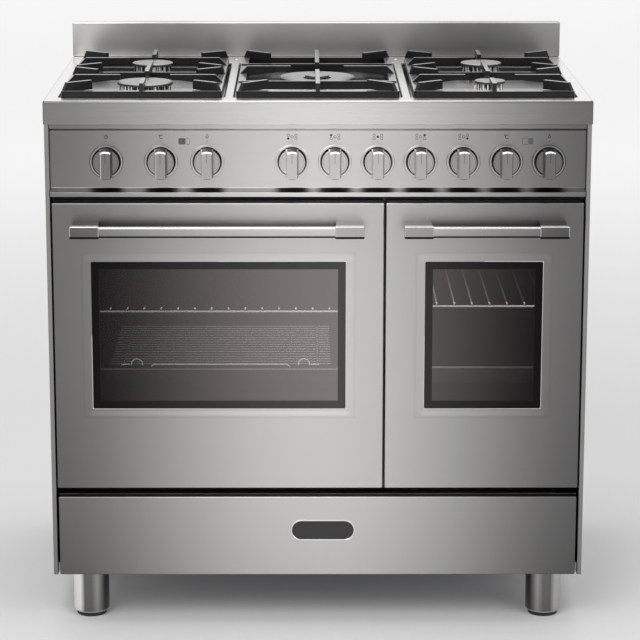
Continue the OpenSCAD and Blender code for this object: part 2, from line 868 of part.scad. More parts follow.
module door_skin(door, side, hinges) color("gainsboro") difference() {
    union() {
        difference() {
            slab([door[0], door_y, door_bot], [door[1], door_y + skin_d, door_top]);
            slab([door[0] + sheet, door_y + sheet, door_bot + sheet],
                 [door[1] - sheet, door_y + skin_d + 1, door_top - sheet]);
        }
        facing(door_y + eps, bevel_h + sheet - eps)
            window_shape(door, side, bevel_w + 3, 15);
    }
    hull() {
        facing(door_y - 1, 1) window_shape(door, side, bevel_w, 13, $fn = 32);
        facing(door_y + bevel_h - eps, eps) window_shape(door, side, 0, 4, $fn = 32);
    }
    facing(door_y, bevel_h + sheet + 1) window_shape(door, side, 0, 4);
    for (x = hinges)
        slab([x - slot_half, pivot_y - lug_r - 1, door_bot - 1],
             [x + slot_half, door_y + skin_d + 1, door_bot + sheet + 1]);
}

module door_liner(door, side, hinges) color("#1c1c1e") {
    lo = [door[0] + sheet + seat, liner_y - liner_d, door_bot + liner_up];
    hi = [door[1] - sheet - seat, liner_y, door_top - sheet - seat];
    difference() {
        slab(lo, hi);
        slab(lo + [sheet, -1, sheet], hi - [sheet, sheet, sheet]);
        facing(liner_y - sheet - 1, sheet + 2) window_shape(door, side, 0, 8);
        for (x = hinges) {
            slab([x - slot_half, liner_y - liner_d - 1, door_bot],
                 [x + slot_half, liner_y + 1, pivot_z + lug_r + 1]);
            slab([x - slot_half - cheek_t - 1, liner_y - liner_d - 1, door_bot],
                 [x + slot_half + cheek_t + 1, liner_y - sheet, lo[2] + sheet + 1]);
        }
    }
}

module door_glass(door, side) color("#50504c") {
    facing(door_y + bevel_h + sheet, pane_t) window_shape(door, side, pane_over, 6);
    facing(liner_y - sheet - pane_t, pane_t) window_shape(door, side, pane_over, 6);
}

// The hinge channels in a door, each with its pin between two cheeks.
module door_hinges(hinges) color("slategray") for (x = hinges) {
    for (s = [-1, 1]) {
        inner = x + s * slot_half;
        outer = x + s * (slot_half + cheek_t);
        slab([min(inner, outer), pivot_y - 8, pivot_z - 8],
             [max(inner, outer), liner_y - sheet, hinge_top]);
    }
    slab([x - slot_half - cheek_t, pivot_y - 8, pivot_z + 20],
         [x + slot_half + cheek_t, pivot_y - 6, hinge_top]);
    translate([x - slot_half - cheek_t, pivot_y, pivot_z])
        rotate([0, 90, 0]) cylinder(h = 2 * (slot_half + cheek_t), d = pin_d);
}

bar_h = handle_h - 3;
bar_t = handle_t - 3;
bar_r = 5;
socket = 10;
leg_in = 2;
leg_w = block_w - 2 * leg_in;
leg_h = handle_h - 3;
handle_front = -handle_reach;
handle_mid = handle_front + handle_t / 2;

// The bar's section, grown by g.
module bar_shape(g) {
    round_rect([handle_mid - bar_t / 2 - g, handle_z - bar_h / 2 - g],
               [handle_mid + bar_t / 2 + g, handle_z + bar_h / 2 + g], bar_r + g);
}

module handle_bar(door, side) color("silver")
    along_x(door[0] + side + block_w - socket, door[1] - side - block_w + socket)
        bar_shape(0);

module handle_posts(door, side) color("whitesmoke") {
    x0 = door[0] + side;
    x1 = door[1] - side;
    for (end = [[x0, x0 + block_w], [x1 - block_w, x1]])
        difference() {
            union() {
                along_x(end[0], end[1])
                    round_rect([handle_front, handle_z - handle_h / 2],
                               [handle_front + handle_t, handle_z + handle_h / 2], 2);
                slab([end[0] + leg_in, handle_front + handle_t - 1, handle_z - leg_h / 2],
                     [end[0] + leg_in + leg_w, door_y, handle_z + leg_h / 2]);
            }
            along_x(x0 + block_w - socket - 1, x1 - block_w + socket + 1)
                bar_shape(0.1);
        }
}

module main_door_skin() placed() door_skin(main_door, main_window_side, main_hinge_x);
module main_door_liner() placed() door_liner(main_door, main_window_side, main_hinge_x);
module main_door_glass() placed() door_glass(main_door, main_window_side);
module main_door_hinges() placed() door_hinges(main_hinge_x);
module main_door_handle() placed() handle_bar(main_door, main_handle_side);
module main_handle_posts() placed() handle_posts(main_door, main_handle_side);

module small_door_skin() placed() door_skin(small_door, small_window_side, small_hinge_x);
module small_door_liner() placed()
    door_liner(small_door, small_window_side, small_hinge_x);
module small_door_glass() placed() door_glass(small_door, small_window_side);
module small_door_hinges() placed() door_hinges(small_hinge_x);
module small_door_handle() placed() handle_bar(small_door, small_handle_side);
module small_handle_posts() placed() handle_posts(small_door, small_handle_side);

// Drawer -------------------------------------------------------------------------

module drawer_front() placed() color("gainsboro") difference() {
    slab([-drawer_x, door_y, foot_h], [drawer_x, box_y, drawer_top]);
    slab([-drawer_x + sheet, door_y + sheet, foot_h + sheet],
         [drawer_x - sheet, box_y + 1, drawer_top - sheet]);
}

module drawer_box() placed() color("lightgray") {
    slab([-drawer_x, box_y, foot_h], [drawer_x, box_y + sheet, drawer_top]);
    difference() {
        slab([-box_x, box_y, box_bot], [box_x, box_y + drawer_d, box_bot + drawer_box_h]);
        slab([-box_x + sheet, box_y + sheet, box_bot + sheet],
             [box_x - sheet, box_y + drawer_d - sheet, box_bot + drawer_box_h + 1]);
    }
    for (s = [-1, 1])
        scale([s, 1, 1])
            slab([box_x - 0.2, box_y + 20, runner_z - runner_h / 2],
                 [box_x + runner_t, box_y + drawer_d, runner_z + runner_h / 2]);
}

module drawer_rails() placed() color("silver") for (s = [-1, 1]) scale([s, 1, 1]) {
    x1 = box_x + runner_t + play;
    half = runner_h / 2 + play;
    difference() {
        slab([box_x + 1, frame_y + 4, runner_z - half - channel_t],
             [x1 + channel_t, back_y - 14, runner_z + half + channel_t]);
        slab([box_x, frame_y, runner_z - half], [x1, back_y, runner_z + half]);
    }
    for (y = [frame_y + 30, back_y - 80])
        slab([x1 + channel_t - 0.2, y, runner_z - half], [side_in, y + 24, runner_z + half]);
}

// Hob ----------------------------------------------------------------------------

wells = [[-well_x, well_w], [0, mid_well_w], [well_x, well_w]];

module well_shape(well, g) {
    round_rect([well[0] - well[1] / 2 - g, well_y - g],
               [well[0] + well[1] / 2 + g, well_y + well_d + g], well_r + g);
}

module hob_top() placed() color("whitesmoke") difference() {
    union() {
        difference() {
            slab([-half_w, 0, apron_z], [half_w, depth, hob_z]);
            slab([-half_w + sheet, sheet, apron_z + sheet],
                 [half_w - sheet, depth - sheet, hob_z - sheet]);
            slab([-half_w + 16, frame_y, apron_z - 1],
                 [half_w - 16, back_y - 6, apron_z + sheet + 1]);
        }
        for (well = wells)
            translate([0, 0, well_z - sheet])
                linear_extrude(well_h + sheet / 2) well_shape(well, sheet);
    }
    for (well = wells)
        translate([0, 0, well_z]) linear_extrude(well_h + 1) well_shape(well, 0);
    for (b = round_burners)
        translate([b[0], b[1], well_z - 5]) cylinder(h = 10, d = cup_d + 2 * seat);
    translate([middle[0], middle[1], well_z - 5]) cylinder(h = 10, d = ring_cup_d + 2 * seat);
    for (p = spark_spots) translate([p[0], p[1], well_z - 5]) cylinder(h = 10, d = spark_d + 1);
}

module backguard() placed() color("gainsboro") difference() {
    slab([-half_w, depth - guard_t, hob_z], [half_w, depth, hob_z + guard_h]);
    slab([-half_w + sheet, depth - guard_t + sheet, hob_z - 1],
         [half_w - sheet, depth - sheet, hob_z + guard_h - sheet]);
}

function crown_r(b) = b[2] / 2 - crown_in;
ring_crown_r = cap_ring / 2 - crown_in - 1;
flange_h = 2;
port_h = 7;
ring_in = cap_core / 2 + 3;
function spark_r(b) = (b == middle ? ring_crown_r : crown_r(b)) + spark_out;
spark_spots = [for (b = round_burners)
    [b[0] + spark_r(b) * cos(spark_angle), b[1] + spark_r(b) * sin(spark_angle)]];

// A ring of open flame ports at radius r, under the height z.
module ports(r, z) {
    count = round(2 * PI * r / (4.2 * port_w));
    for (k = [0:count - 1])
        rotate(k * 360 / count)
            translate([r - 5, -port_w / 2, z - port_h]) cube([10, port_w, port_h + 1]);
}

module burner_body(b) {
    top = hob_z + b[3] - cap_t;
    r = crown_r(b);
    translate([b[0], b[1], 0]) {
        translate([0, 0, cup_bot]) cylinder(h = well_z - cup_bot + flange_h, d = cup_d);
        translate([0, 0, well_z]) cylinder(h = flange_h, r = max(r, cup_d / 2) + 2);
        difference() {
            translate([0, 0, well_z + flange_h]) cylinder(h = top - well_z - flange_h, r = r);
            ports(r, top);
        }
    }
}

module ring_body() translate([middle[0], middle[1], 0]) {
    top = hob_z + ring_top - cap_t;
    translate([0, 0, well_z - ring_cup_h]) cylinder(h = ring_cup_h, d = ring_cup_d);
    translate([0, 0, well_z]) cylinder(h = flange_h, r = ring_crown_r + 2);
    difference() {
        translate([0, 0, well_z]) cylinder(h = top - well_z, r = ring_crown_r);
        translate([0, 0, well_z + flange_h]) cylinder(h = 20, r = ring_in + 3);
        ports(ring_crown_r, top);
    }
}

module spark_plug(p) {
    translate([p[0], p[1], well_z + spark_up - spark_l]) cylinder(h = spark_l, d = spark_d);
    translate([p[0], p[1], well_z - sheet - spark_foot])
        cylinder(h = spark_foot, d = spark_foot_d);
}

module burner_bodies() placed() color("silver") {
    for (b = round_burners) burner_body(b);
    ring_body();
    for (p = spark_spots) spark_plug(p);
}

module burner_cap(b) translate([b[0], b[1], hob_z + b[3] - cap_t]) {
    r = b[2] / 2;
    edge = min(2, cap_t / 2);
    rotate_extrude() difference() {
        union() {
            square([r, cap_t - edge]);
            square([r - edge, cap_t]);
            translate([r - edge, cap_t - edge]) circle(edge);
        }
        translate([-r, -1]) square([r, cap_t + 2]);
    }
}

// The outer cap of the triple ring burner, dished towards the middle.
module ring_cap() translate([middle[0], middle[1], hob_z + ring_top - cap_t]) {
    r = cap_ring / 2;
    low = cap_t * 0.4;
    rotate_extrude() polygon([[ring_in, 0], [r, 0], [r, cap_t - 1.5], [r - 1.5, cap_t],
                              [r - 5, cap_t], [ring_in + 4, low], [ring_in, low]]);
}

module burner_caps() placed() color("#b8b8b4") {
    for (b = round_burners) burner_cap(b);
    ring_cap();
}

// Pan supports -------------------------------------------------------------------

// A finger from its tip at the origin outwards along +X; lean slopes its outer end, and
// tip is the height of its inner end.
module finger(l, lean, tip = tip_h) {
    top = hob_z + finger_top;
    root = hob_z + rail_top - 6;
    translate([0, finger_w / 2, 0]) rotate([90, 0, 0]) linear_extrude(finger_w)
        polygon([[0, top - tip], [0, top], [l - lean, top], [l, hob_z + rail_top - 0.5],
                 [l, root], [l - rail_w, root], [l - rail_w - 8, root + 3]]);
}

module support_frame(w) {
    x = w / 2;
    y = support_d / 2;
    difference() {
        translate([0, 0, support_bot]) linear_extrude(hob_z + rail_top - support_bot)
            round_rect([-x, -y], [x, y], frame_r);
        slab([-x + rail_w, -y + rail_w, support_bot - 1],
             [x - rail_w, y - rail_w, hob_z + rail_top + 1]);
    }
    for (s = [-1, 1], t = [-1, 1])
        translate([s * (x - rail_w / 2), t * (y - rail_w / 2), well_z + fit])
            cylinder(h = stud_h + 1, d = rail_w - 3);
}

module cross_bar(w, y) {
    slab([-w / 2 + 1, y - finger_w / 2, support_bot + 4],
         [w / 2 - 1, y + finger_w / 2, hob_z + bar_top]);
}

diagonal_angle = 39;
diagonal_r = 110;

// A support over two burners, one in front of the other.
module double_support(w) {
    half = support_d / 2;
    diagonal_l = w / 2 / cos(diagonal_angle) - diagonal_r - 4;
    middle_l = burner_y - finger_r;
    support_frame(w);
    cross_bar(w, 0);
    for (t = [-1, 1]) translate([0, t * burner_y, 0]) {
        for (a = [0, 180])
            rotate(a) translate([finger_r, 0, 0]) finger(w / 2 - finger_r - 1, slope_in);
        for (a = [0, 180], s = [-1, 1])
            rotate(a + s * diagonal_angle) translate([diagonal_r, 0, 0])
                finger(diagonal_l, diagonal_lean, block_h);
        rotate(t * 90) translate([finger_r, 0, 0]) finger(half - burner_y - finger_r - 1, end_lean);
    }
    translate([-finger_w / 2, 0, 0]) rotate([90, 0, 90]) linear_extrude(finger_w)
        polygon([[-middle_l, hob_z + finger_top - tip_h], [-middle_l, hob_z + finger_top],
                 [middle_l, hob_z + finger_top], [middle_l, hob_z + finger_top - tip_h],
                 [fin_half, hob_z + fin_up], [-fin_half, hob_z + fin_up]]);
}

corner_l = 64;

// The support over the one large burner in the middle.
module single_support(w) {
    half = support_d / 2;
    free = finger_r + 4;
    support_frame(w);
    for (t = [-1, 1]) {
        cross_bar(w, t * burner_y);
        rotate(t * 90) translate([free, 0, 0]) finger(half - free - 1, end_lean);
        rotate(t > 0 ? 0 : 180) translate([free, 0, 0]) finger(w / 2 - free - 1, slope_in);
        for (s = [-1, 1])
            translate([s * (w / 2 - 5), t * (half - 5), 0]) rotate(atan2(t, s))
                translate([-corner_l, 0, 0]) finger(corner_l, corner_lean, block_h);
    }
}

support_w = well_w - 2 * support_gap;
mid_support_w = mid_well_w - 2 * support_gap;

module pan_support_left() placed() color("#181818")
    translate([-well_x, well_mid, 0]) double_support(support_w);

module pan_support_right() placed() color("#181818")
    translate([well_x, well_mid, 0]) double_support(support_w);

module pan_support_centre() placed() color("#181818")
    translate([0, well_mid, 0]) single_support(mid_support_w);

// Control panel ------------------------------------------------------------------

groove_y = face_y + 6;
panel_side_gap = 1.5;

module control_panel() placed() color("gainsboro") difference() {
    along_x(-mouth_x + panel_side_gap, mouth_x - panel_side_gap)
        polygon(folded([[strip_y, apron_z], [strip_y, apron_z - strip_h],
                        [groove_y, apron_z - strip_h], [groove_y, face_top],
                        [face_y, face_top], [face_y, face_bot], [lip_y, lip_top],
                        [lip_y, lip_bot], [frame_y, lip_bot]], sheet));
    for (x = knob_xs)
        translate([x, face_y - 1, knob_z])
            rotate([-90, 0, 0]) cylinder(h = sheet + 2, d = spindle_d + 2);
}

module knob_bezels() placed() color("silver") for (x = knob_xs)
    facing(face_y - bezel_h, bezel_h) translate([x, knob_z]) difference() {
        circle(d = bezel_d);
        circle(d = bezel_d - 2 * bezel_w);
    }

// A knob with its front towards -Y; back is where its shaft or its bore starts.
module knob_form(x) translate([x, 0, knob_z]) {
    rotate([-90, 0, 0]) translate([0, 0, disc_front]) cylinder(h = disc_t, d = disc_d);
    facing(grip_front, grip_h + 1) intersection() {
        translate([-grip_w / 2, -grip_l / 2]) square([grip_w, grip_l]);
        circle(d = grip_l);
    }
}

// A knob whose own shaft runs in the switch behind the panel.
module switch_knob(x) placed() color("silver") {
    knob_form(x);
    translate([x, disc_back - 1, knob_z]) rotate([-90, 0, 0])
        cylinder(h = panel_back + switch_d - 6 - disc_back, d = spindle_d);
}

module timer_knob() switch_knob(timer_x);
module main_temp_knob() switch_knob(main_temp_x);
module main_mode_knob() switch_knob(main_mode_x);
module small_temp_knob() switch_knob(small_temp_x);
module small_mode_knob() switch_knob(small_mode_x);

// A knob that turns on a gas spindle.
module gas_knob(k) placed() color("silver") difference() {
    knob_form(gas_knob_x[k]);
    translate([gas_knob_x[k], spindle_front - play, knob_z]) rotate([-90, 0, 0])
        cylinder(h = 30, d = spindle_d + 2 * fit);
}

// The spindle that a pushed knob carries into its tap.
module gas_spindle(k) placed() color("goldenrod")
    translate([gas_knob_x[k], spindle_front, knob_z]) rotate([-90, 0, 0])
        cylinder(h = spindle_back - spindle_front, d = spindle_d);

module gas_tap(k) difference() {
    x = gas_knob_x[k];
    slab([x - tap_w / 2, panel_back, knob_z - tap_h / 2],
         [x + tap_w / 2, panel_back + tap_len, knob_z + tap_h / 2]);
    translate([x, panel_back - 1, knob_z]) rotate([-90, 0, 0])
        cylinder(h = spindle_back - panel_back + push + 2, d = spindle_d + 2 * fit);
}

// The level of each burner's tube, counted up from the lowest.
tube_rank = [3, 0, 2, 1, 4];

module burner_tube(k) {
    b = gas_order[k];
    x = gas_knob_x[k];
    y0 = panel_back + tap_len - 1;
    lane = panel_back + tap_len + 10 + k * tube_step;
    z = knob_z + 19 + tube_rank[k] * 9;
    bent_rod([[x, y0, knob_z], [x, lane, knob_z], [x, lane, z], [b[0], lane, z],
              [b[0], b[1], z], [b[0], b[1], cup_bot]], tube_d);
}

module gas_rail() placed() color("darkgoldenrod") {
    for (k = [0:4]) {
        gas_tap(k);
        burner_tube(k);
    }
    slab([gas_knob_x[0] - 24, manifold_y, manifold_top - manifold_s],
         [inlet_x + pipe_d / 2, manifold_y + manifold_s, manifold_top]);
    translate([inlet_x, manifold_y + manifold_s - 1, inlet_z]) rotate([-90, 0, 0])
        cylinder(h = inlet_end - inlet_l - manifold_y - manifold_s + 2, d = pipe_d);
    translate([inlet_x, inlet_end - inlet_l, inlet_z]) rotate([-90, 0, 0])
        cylinder(h = inlet_l, d = inlet_d);
}

module oven_switches() placed() color("ivory") for (x = switch_x) difference() {
    slab([x - switch_s / 2, panel_back, knob_z - switch_s / 2],
         [x + switch_s / 2, panel_back + switch_d, knob_z + switch_s / 2]);
    translate([x, panel_back - 1, knob_z]) rotate([-90, 0, 0])
        cylinder(h = switch_d - 4, d = spindle_d + 2 * fit);
}

module terminal_box() placed() color("#2a2a2a") {
    y0 = back_y + sheet;
    y1 = depth - 2;
    gland_y = (y0 + y1) / 2;
    difference() {
        union() {
            slab([terminal_x - terminal_w / 2, y0, terminal_z - terminal_h / 2],
                 [terminal_x + terminal_w / 2, y1, terminal_z + terminal_h / 2]);
            translate([terminal_x, gland_y, terminal_z - terminal_h / 2 - gland_l])
                cylinder(h = gland_l + 1, d = gland_d);
        }
        slab([terminal_x - terminal_w / 2 + box_wall, y0 - 1,
              terminal_z - terminal_h / 2 + box_wall],
             [terminal_x + terminal_w / 2 - box_wall, y1 - box_wall,
              terminal_z + terminal_h / 2 - box_wall]);
        translate([terminal_x, gland_y, terminal_z - terminal_h / 2 - gland_l - 1])
            cylinder(h = gland_l + box_wall + 2, d = gland_bore);
    }
}

base_frame();
side_panel_left();
side_panel_right();
back_panel();
front_frame();
insulation();
feet();
main_oven_cavity();
small_oven_cavity();
fan_cover();
oven_fan();
fan_motor();
heating_elements();
side_racks();
wire_shelves();
oven_trays();
oven_lamps();
door_seals();
main_door_skin();
main_door_liner();
main_door_glass();
main_door_handle();
main_handle_posts();
main_door_hinges();
small_door_skin();
small_door_liner();
small_door_glass();
small_door_handle();
small_handle_posts();
small_door_hinges();
drawer_front();
drawer_box();
drawer_rails();
hob_top();
backguard();
burner_bodies();
burner_caps();
pan_support_left();
pan_support_centre();
pan_support_right();
control_panel();
knob_bezels();
gas_rail();
oven_switches();
terminal_box();
timer_knob();
main_temp_knob();
main_mode_knob();
small_temp_knob();
small_mode_knob();
gas_knob(0);  // gas_knob_1
gas_knob(1);  // gas_knob_2
gas_knob(2);  // gas_knob_3
gas_knob(3);  // gas_knob_4
gas_knob(4);  // gas_knob_5
gas_spindle(0);  // gas_spindle_1
gas_spindle(1);  // gas_spindle_2
gas_spindle(2);  // gas_spindle_3
gas_spindle(3);  // gas_spindle_4
gas_spindle(4);  // gas_spindle_5
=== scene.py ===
"""Dresses the range cooker's CAD frame: steel, enamel, castings, glass and a stage."""

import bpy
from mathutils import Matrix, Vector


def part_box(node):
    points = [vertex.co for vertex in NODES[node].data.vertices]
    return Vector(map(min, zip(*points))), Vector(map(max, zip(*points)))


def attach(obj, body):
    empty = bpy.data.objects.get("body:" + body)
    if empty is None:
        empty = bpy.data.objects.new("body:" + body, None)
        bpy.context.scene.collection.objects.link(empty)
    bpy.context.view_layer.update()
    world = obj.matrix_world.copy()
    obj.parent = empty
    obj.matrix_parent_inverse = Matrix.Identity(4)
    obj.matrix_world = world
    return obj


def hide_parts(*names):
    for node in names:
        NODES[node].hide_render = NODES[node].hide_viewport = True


bl_info = {
    "name": "Range cooker with two ovens",
    "version": (1, 0, 0),
    "blender": (4, 5, 0),
    "location": "View3D > Sidebar > Cooker",
    "description": "Builds the cooker's visible pieces and finishes on its CAD frame",
    "category": "Add Mesh",
}

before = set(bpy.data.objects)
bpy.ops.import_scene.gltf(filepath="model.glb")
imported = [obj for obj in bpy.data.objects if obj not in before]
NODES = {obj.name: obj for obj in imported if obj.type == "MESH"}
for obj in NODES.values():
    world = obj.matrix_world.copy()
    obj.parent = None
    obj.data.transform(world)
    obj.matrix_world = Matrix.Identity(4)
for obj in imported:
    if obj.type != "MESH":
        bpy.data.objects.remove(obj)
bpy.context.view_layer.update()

import math

import bmesh
import bpy
from mathutils import Matrix, Vector
from mathutils.geometry import tessellate_polygon

# Each knob's node and the body that it turns with.
SWITCH_KNOBS = {
    "timer_knob": "timer",
    "main_temp_knob": "main_thermostat",
    "main_mode_knob": "main_selector",
    "small_temp_knob": "small_thermostat",
    "small_mode_knob": "small_selector",
}
GAS_KNOBS = {f"gas_knob_{k}": f"tap_{k}_knob" for k in range(1, 6)}

# Places in metres: X along the front, -Y towards the cook, Z up.
KNOB_AXIS_Z = 0.7973
PANEL_SET_BACK = 0.014
GLASS_OVERLAP = 0.009
OVEN_SPLIT_X = 0.11
MAIN_OVEN_X = -0.165
FRONT_WIRES_Y = -0.1995
SHEEN_REACH = 0.47
GROOVE_TOP = 0.019

# Lines per metre of a brushed or turned finish, along X, Y and Z.
BRUSHED_X = (6.0, 900.0, 900.0)
BRUSHED_Y = (900.0, 6.0, 900.0)
BRUSHED_Z = (900.0, 900.0, 20.0)
TURNED = (400.0, 400.0, 400.0)

BLACK = (0.0, 0.0, 0.0)
WHITE = (1.0, 1.0, 1.0)
UPRIGHT = Matrix()
TO_FRONT = Matrix.Rotation(math.radians(90), 4, "X")
TO_BACK = Matrix.Rotation(math.radians(-90), 4, "X")


# Sizes and colours ---------------------------------------------------------------


def length(name, description, value):
    """A length in metres for a property group."""
    return bpy.props.FloatProperty(
        name=name, description=description, default=value, min=0.0, precision=5,
        subtype="DISTANCE", unit="LENGTH",
    )


def colour(name, description, value):
    """A plain colour for a property group."""
    return bpy.props.FloatVectorProperty(
        name=name, description=description, default=value, size=3, min=0.0, max=1.0,
        subtype="COLOR",
    )


def factor(name, description, value):
    """A share between nothing and all for a property group."""
    return bpy.props.FloatProperty(
        name=name, description=description, default=value, min=0.0, max=1.0,
        subtype="FACTOR",
    )


class CookerSizes(bpy.types.PropertyGroup):
    """Sizes of the details that the CAD frame leaves plain."""

    sheet: length("Sheet", "Thickness of the casing sheets", 0.0012)
    fold: length("Fold", "Outer radius of the folds in the side sheets", 0.002)
    panel_fold: length("Panel fold", "Outer radius of the panel's folds", 0.0011)
    door_edge: length("Door edge", "Radius round the edges of doors and drawer", 0.0022)
    hob_edge: length("Hob edge", "Radius round the hob's upper edge", 0.0032)
    hob_fold: length("Hob fold", "Radius round the hob's lower edge", 0.0014)
    hob_corner: length("Hob corner", "Radius of the hob's corners seen from above", 0.0035)
    well_bend: length("Well bend", "Radius of the bends round a burner well", 0.0035)
    guard_edge: length("Upstand edge", "Radius round the upstand's edges", 0.0022)
    slope: length("Window slope", "Width of the pressed slope round a window", 0.0155)
    slope_depth: length("Slope depth", "Depth of the pressed slope", 0.0025)
    border: length("Window border", "Width of the black print on a window", 0.0132)
    disc_rim: length("Disc rim", "Radius round the front of a knob's disc", 0.0009)
    grip_base: length("Grip base", "Width of a knob's grip at its disc", 0.0212)
    grip_front: length("Grip front", "Width of a knob's grip at its front", 0.017)
    groove: length("Pointer groove", "Length of the groove in a knob's grip", 0.018)
    bezel_out: length("Bezel foot", "Outer radius of a bezel at the panel", 0.028)
    bezel_in: length("Bezel bore", "Inner radius of a bezel", 0.0243)
    print_rise: length("Print", "Thickness of the printed marks", 0.00012)
    bar_edge: length("Bar edge", "Radius round a handle bar's section", 0.0034)
    block_edge: length("Block edge", "Radius round a handle's end blocks", 0.0022)
    cast_edge: length("Casting edge", "Radius round the pan supports' edges", 0.0012)


class CookerColours(bpy.types.PropertyGroup):
    """Colours of the finishes."""

    steel: colour("Steel", "Tone of the brushed sheet steel", (1.0, 0.992, 0.975))
    enamel: colour("Enamel", "Dark grey enamel inside the ovens", (0.035, 0.035, 0.038))
    black: colour("Black enamel", "Black enamel of doors and front plate", (0.012, 0.012, 0.013))
    iron: colour("Cast iron", "Pan supports", (0.013, 0.013, 0.014))
    crown: colour("Burner crown", "Die-cast burner bodies", (0.84, 0.83, 0.8))
    cap: colour("Burner cap", "Satin burner caps", (0.36, 0.36, 0.35))
    wire: colour("Wire", "Plated oven wires", (0.85, 0.85, 0.86))
    zinc: colour("Zinc", "Zinc-coated inner sheets", (0.46, 0.47, 0.48))
    brass: colour("Brass", "Gas taps, tubes and spindles", (0.66, 0.47, 0.2))
    sheath: colour("Element", "Heat-tinted element sheath", (0.13, 0.1, 0.08))
    wool: colour("Wool", "Mineral wool", (0.55, 0.48, 0.24))
    rubber: colour("Rubber", "Seals and foot pads", (0.018, 0.018, 0.018))
    pale: colour("Pale plastic", "Switch bodies", (0.72, 0.7, 0.64))
    badge_rim: colour("Badge rim", "Rim of the blank plate", (0.82, 0.815, 0.8))
    badge_face: colour("Badge face", "Face of the blank plate", (0.03, 0.03, 0.032))
    ink: colour("Ink", "Printed marks on the panel", (0.006, 0.006, 0.006))
    thin_ink: colour("Thin ink", "Filled cells of the oven signs", (0.12, 0.12, 0.12))
    border_ink: colour("Window ink", "Printed border of the windows", (0.01, 0.01, 0.01))
    hairline: colour("Hairline", "Thin line inside a window's border", (0.12, 0.12, 0.12))
    floor: colour("Floor", "Studio floor", (0.8, 0.8, 0.8))
    clear: factor("Window cover", "How much of the oven a window hides", 0.5)
    inner: factor("Inner pane cover", "How much of the oven an inner pane hides", 0.12)


def sizes():
    """The details' sizes that the scene holds."""
    return bpy.context.scene.cooker_sizes


def colours():
    """The finishes' colours that the scene holds."""
    return bpy.context.scene.cooker_colours


def hue(name):
    """One of those colours, by its name."""
    return tuple(getattr(colours(), name))


# Shapes --------------------------------------------------------------------------


def arc(cu, cv, radius, start, end, steps=5):
    """Points on an arc, with its angles in degrees."""
    points = []
    for k in range(steps + 1):
        angle = math.radians(start + (end - start) * k / steps)
        points.append((cu + radius * math.cos(angle), cv + radius * math.sin(angle)))
    return points


def quarter(radius, steps=5):
    """Steps round a quarter turn: pairs of a fall from radius to 0 and a rise to radius."""
    pairs = []
    for k in range(steps + 1):
        angle = math.radians(90 * k / steps)
        pairs.append((radius * (1 - math.sin(angle)), radius * (1 - math.cos(angle))))
    return pairs


def round_rect(rect, radius, steps=5, grow=0.0):
    """A grown rectangle's outline with round corners, counter-clockwise."""
    u0, v0, u1, v1 = rect
    left, right = u0 - grow + radius, u1 + grow - radius
    foot, top = v0 - grow + radius, v1 + grow - radius
    points = []
    for cu, cv, start in (
        (right, foot, -90), (right, top, 0), (left, top, 90), (left, foot, 180),
    ):
        points += arc(cu, cv, radius, start, start + 90, steps)
    return points


def level_ring(rect, grow, z, radius, steps=5):
    """Such an outline lying at a height."""
    return [(u, v, z) for u, v in round_rect(rect, radius, steps, grow)]


def upright_ring(rect, grow, y, radius, steps=5):
    """Such an outline standing at a depth."""
    return [(u, y, v) for u, v in round_rect(rect, radius, steps, grow)]


def loft(rings, closed=False, caps=(True, True)):
    """A skin through rings of equal length; closed joins the last ring to the first."""
    count = len(rings[0])
    last = len(rings) - 1
    faces = []
    for r in range(last + closed):
        a, b = r * count, (r + 1) % len(rings) * count
        for k in range(count):
            n = (k + 1) % count
            faces.append((a + k, a + n, b + n, b + k))
    for wanted, start in zip(caps, (0, last * count)):
        if wanted and not closed:
            faces.append(tuple(range(start, start + count)))
    return [p for ring in rings for p in ring], faces


def joined(*shapes):
    """Several shapes as one."""
    points, faces = [], []
    for more, sides in shapes:
        start = len(points)
        points += list(more)
        faces += [tuple(start + k for k in side) for side in sides]
    return points, faces


def lathe(profile, segments, at, turn=UPRIGHT, closed=False):
    """A profile of (radius, height) turned round the line that starts at a point."""
    angles = [2 * math.pi * k / segments for k in range(segments)]
    points, faces = loft([
        [(radius * math.cos(a), radius * math.sin(a), height) for a in angles]
        for radius, height in profile
    ], closed)
    place = Matrix.Translation(at) @ turn
    return [place @ Vector(p) for p in points], faces


def tube(path, radius, sides=8):
    """A round wire along a path of points that keeps to one depth."""
    line = [Vector(p) for p in path]
    deep = Vector((0.0, 1.0, 0.0))
    rings = []
    for k, p in enumerate(line):
        along = (line[min(k + 1, len(line) - 1)] - line[max(k - 1, 0)]).normalized()
        across = along.cross(deep)
        rings.append([
            p + radius * (math.cos(a) * across + math.sin(a) * deep)
            for a in (2 * math.pi * n / sides for n in range(sides))
        ])
    return loft(rings)


def filleted(points, radius, steps=4):
    """A line of points with its inner corners rounded."""
    longest_share = 0.45
    line = [Vector(p) for p in points]
    path = [line[0]]
    for a, b, c in zip(line, line[1:], line[2:]):
        u, v = (a - b).normalized(), (c - b).normalized()
        half = u.angle(v) / 2
        longest = longest_share * min((a - b).length, (c - b).length)
        run = min(radius / math.tan(half), longest)
        centre = b + (u + v).normalized() * run / math.cos(half)
        start, end = b + u * run - centre, b + v * run - centre
        turn = start.angle_signed(end)
        for k in range(steps + 1):
            path.append(centre + Matrix.Rotation(-turn * k / steps, 2) @ start)
    return path + [line[-1]]


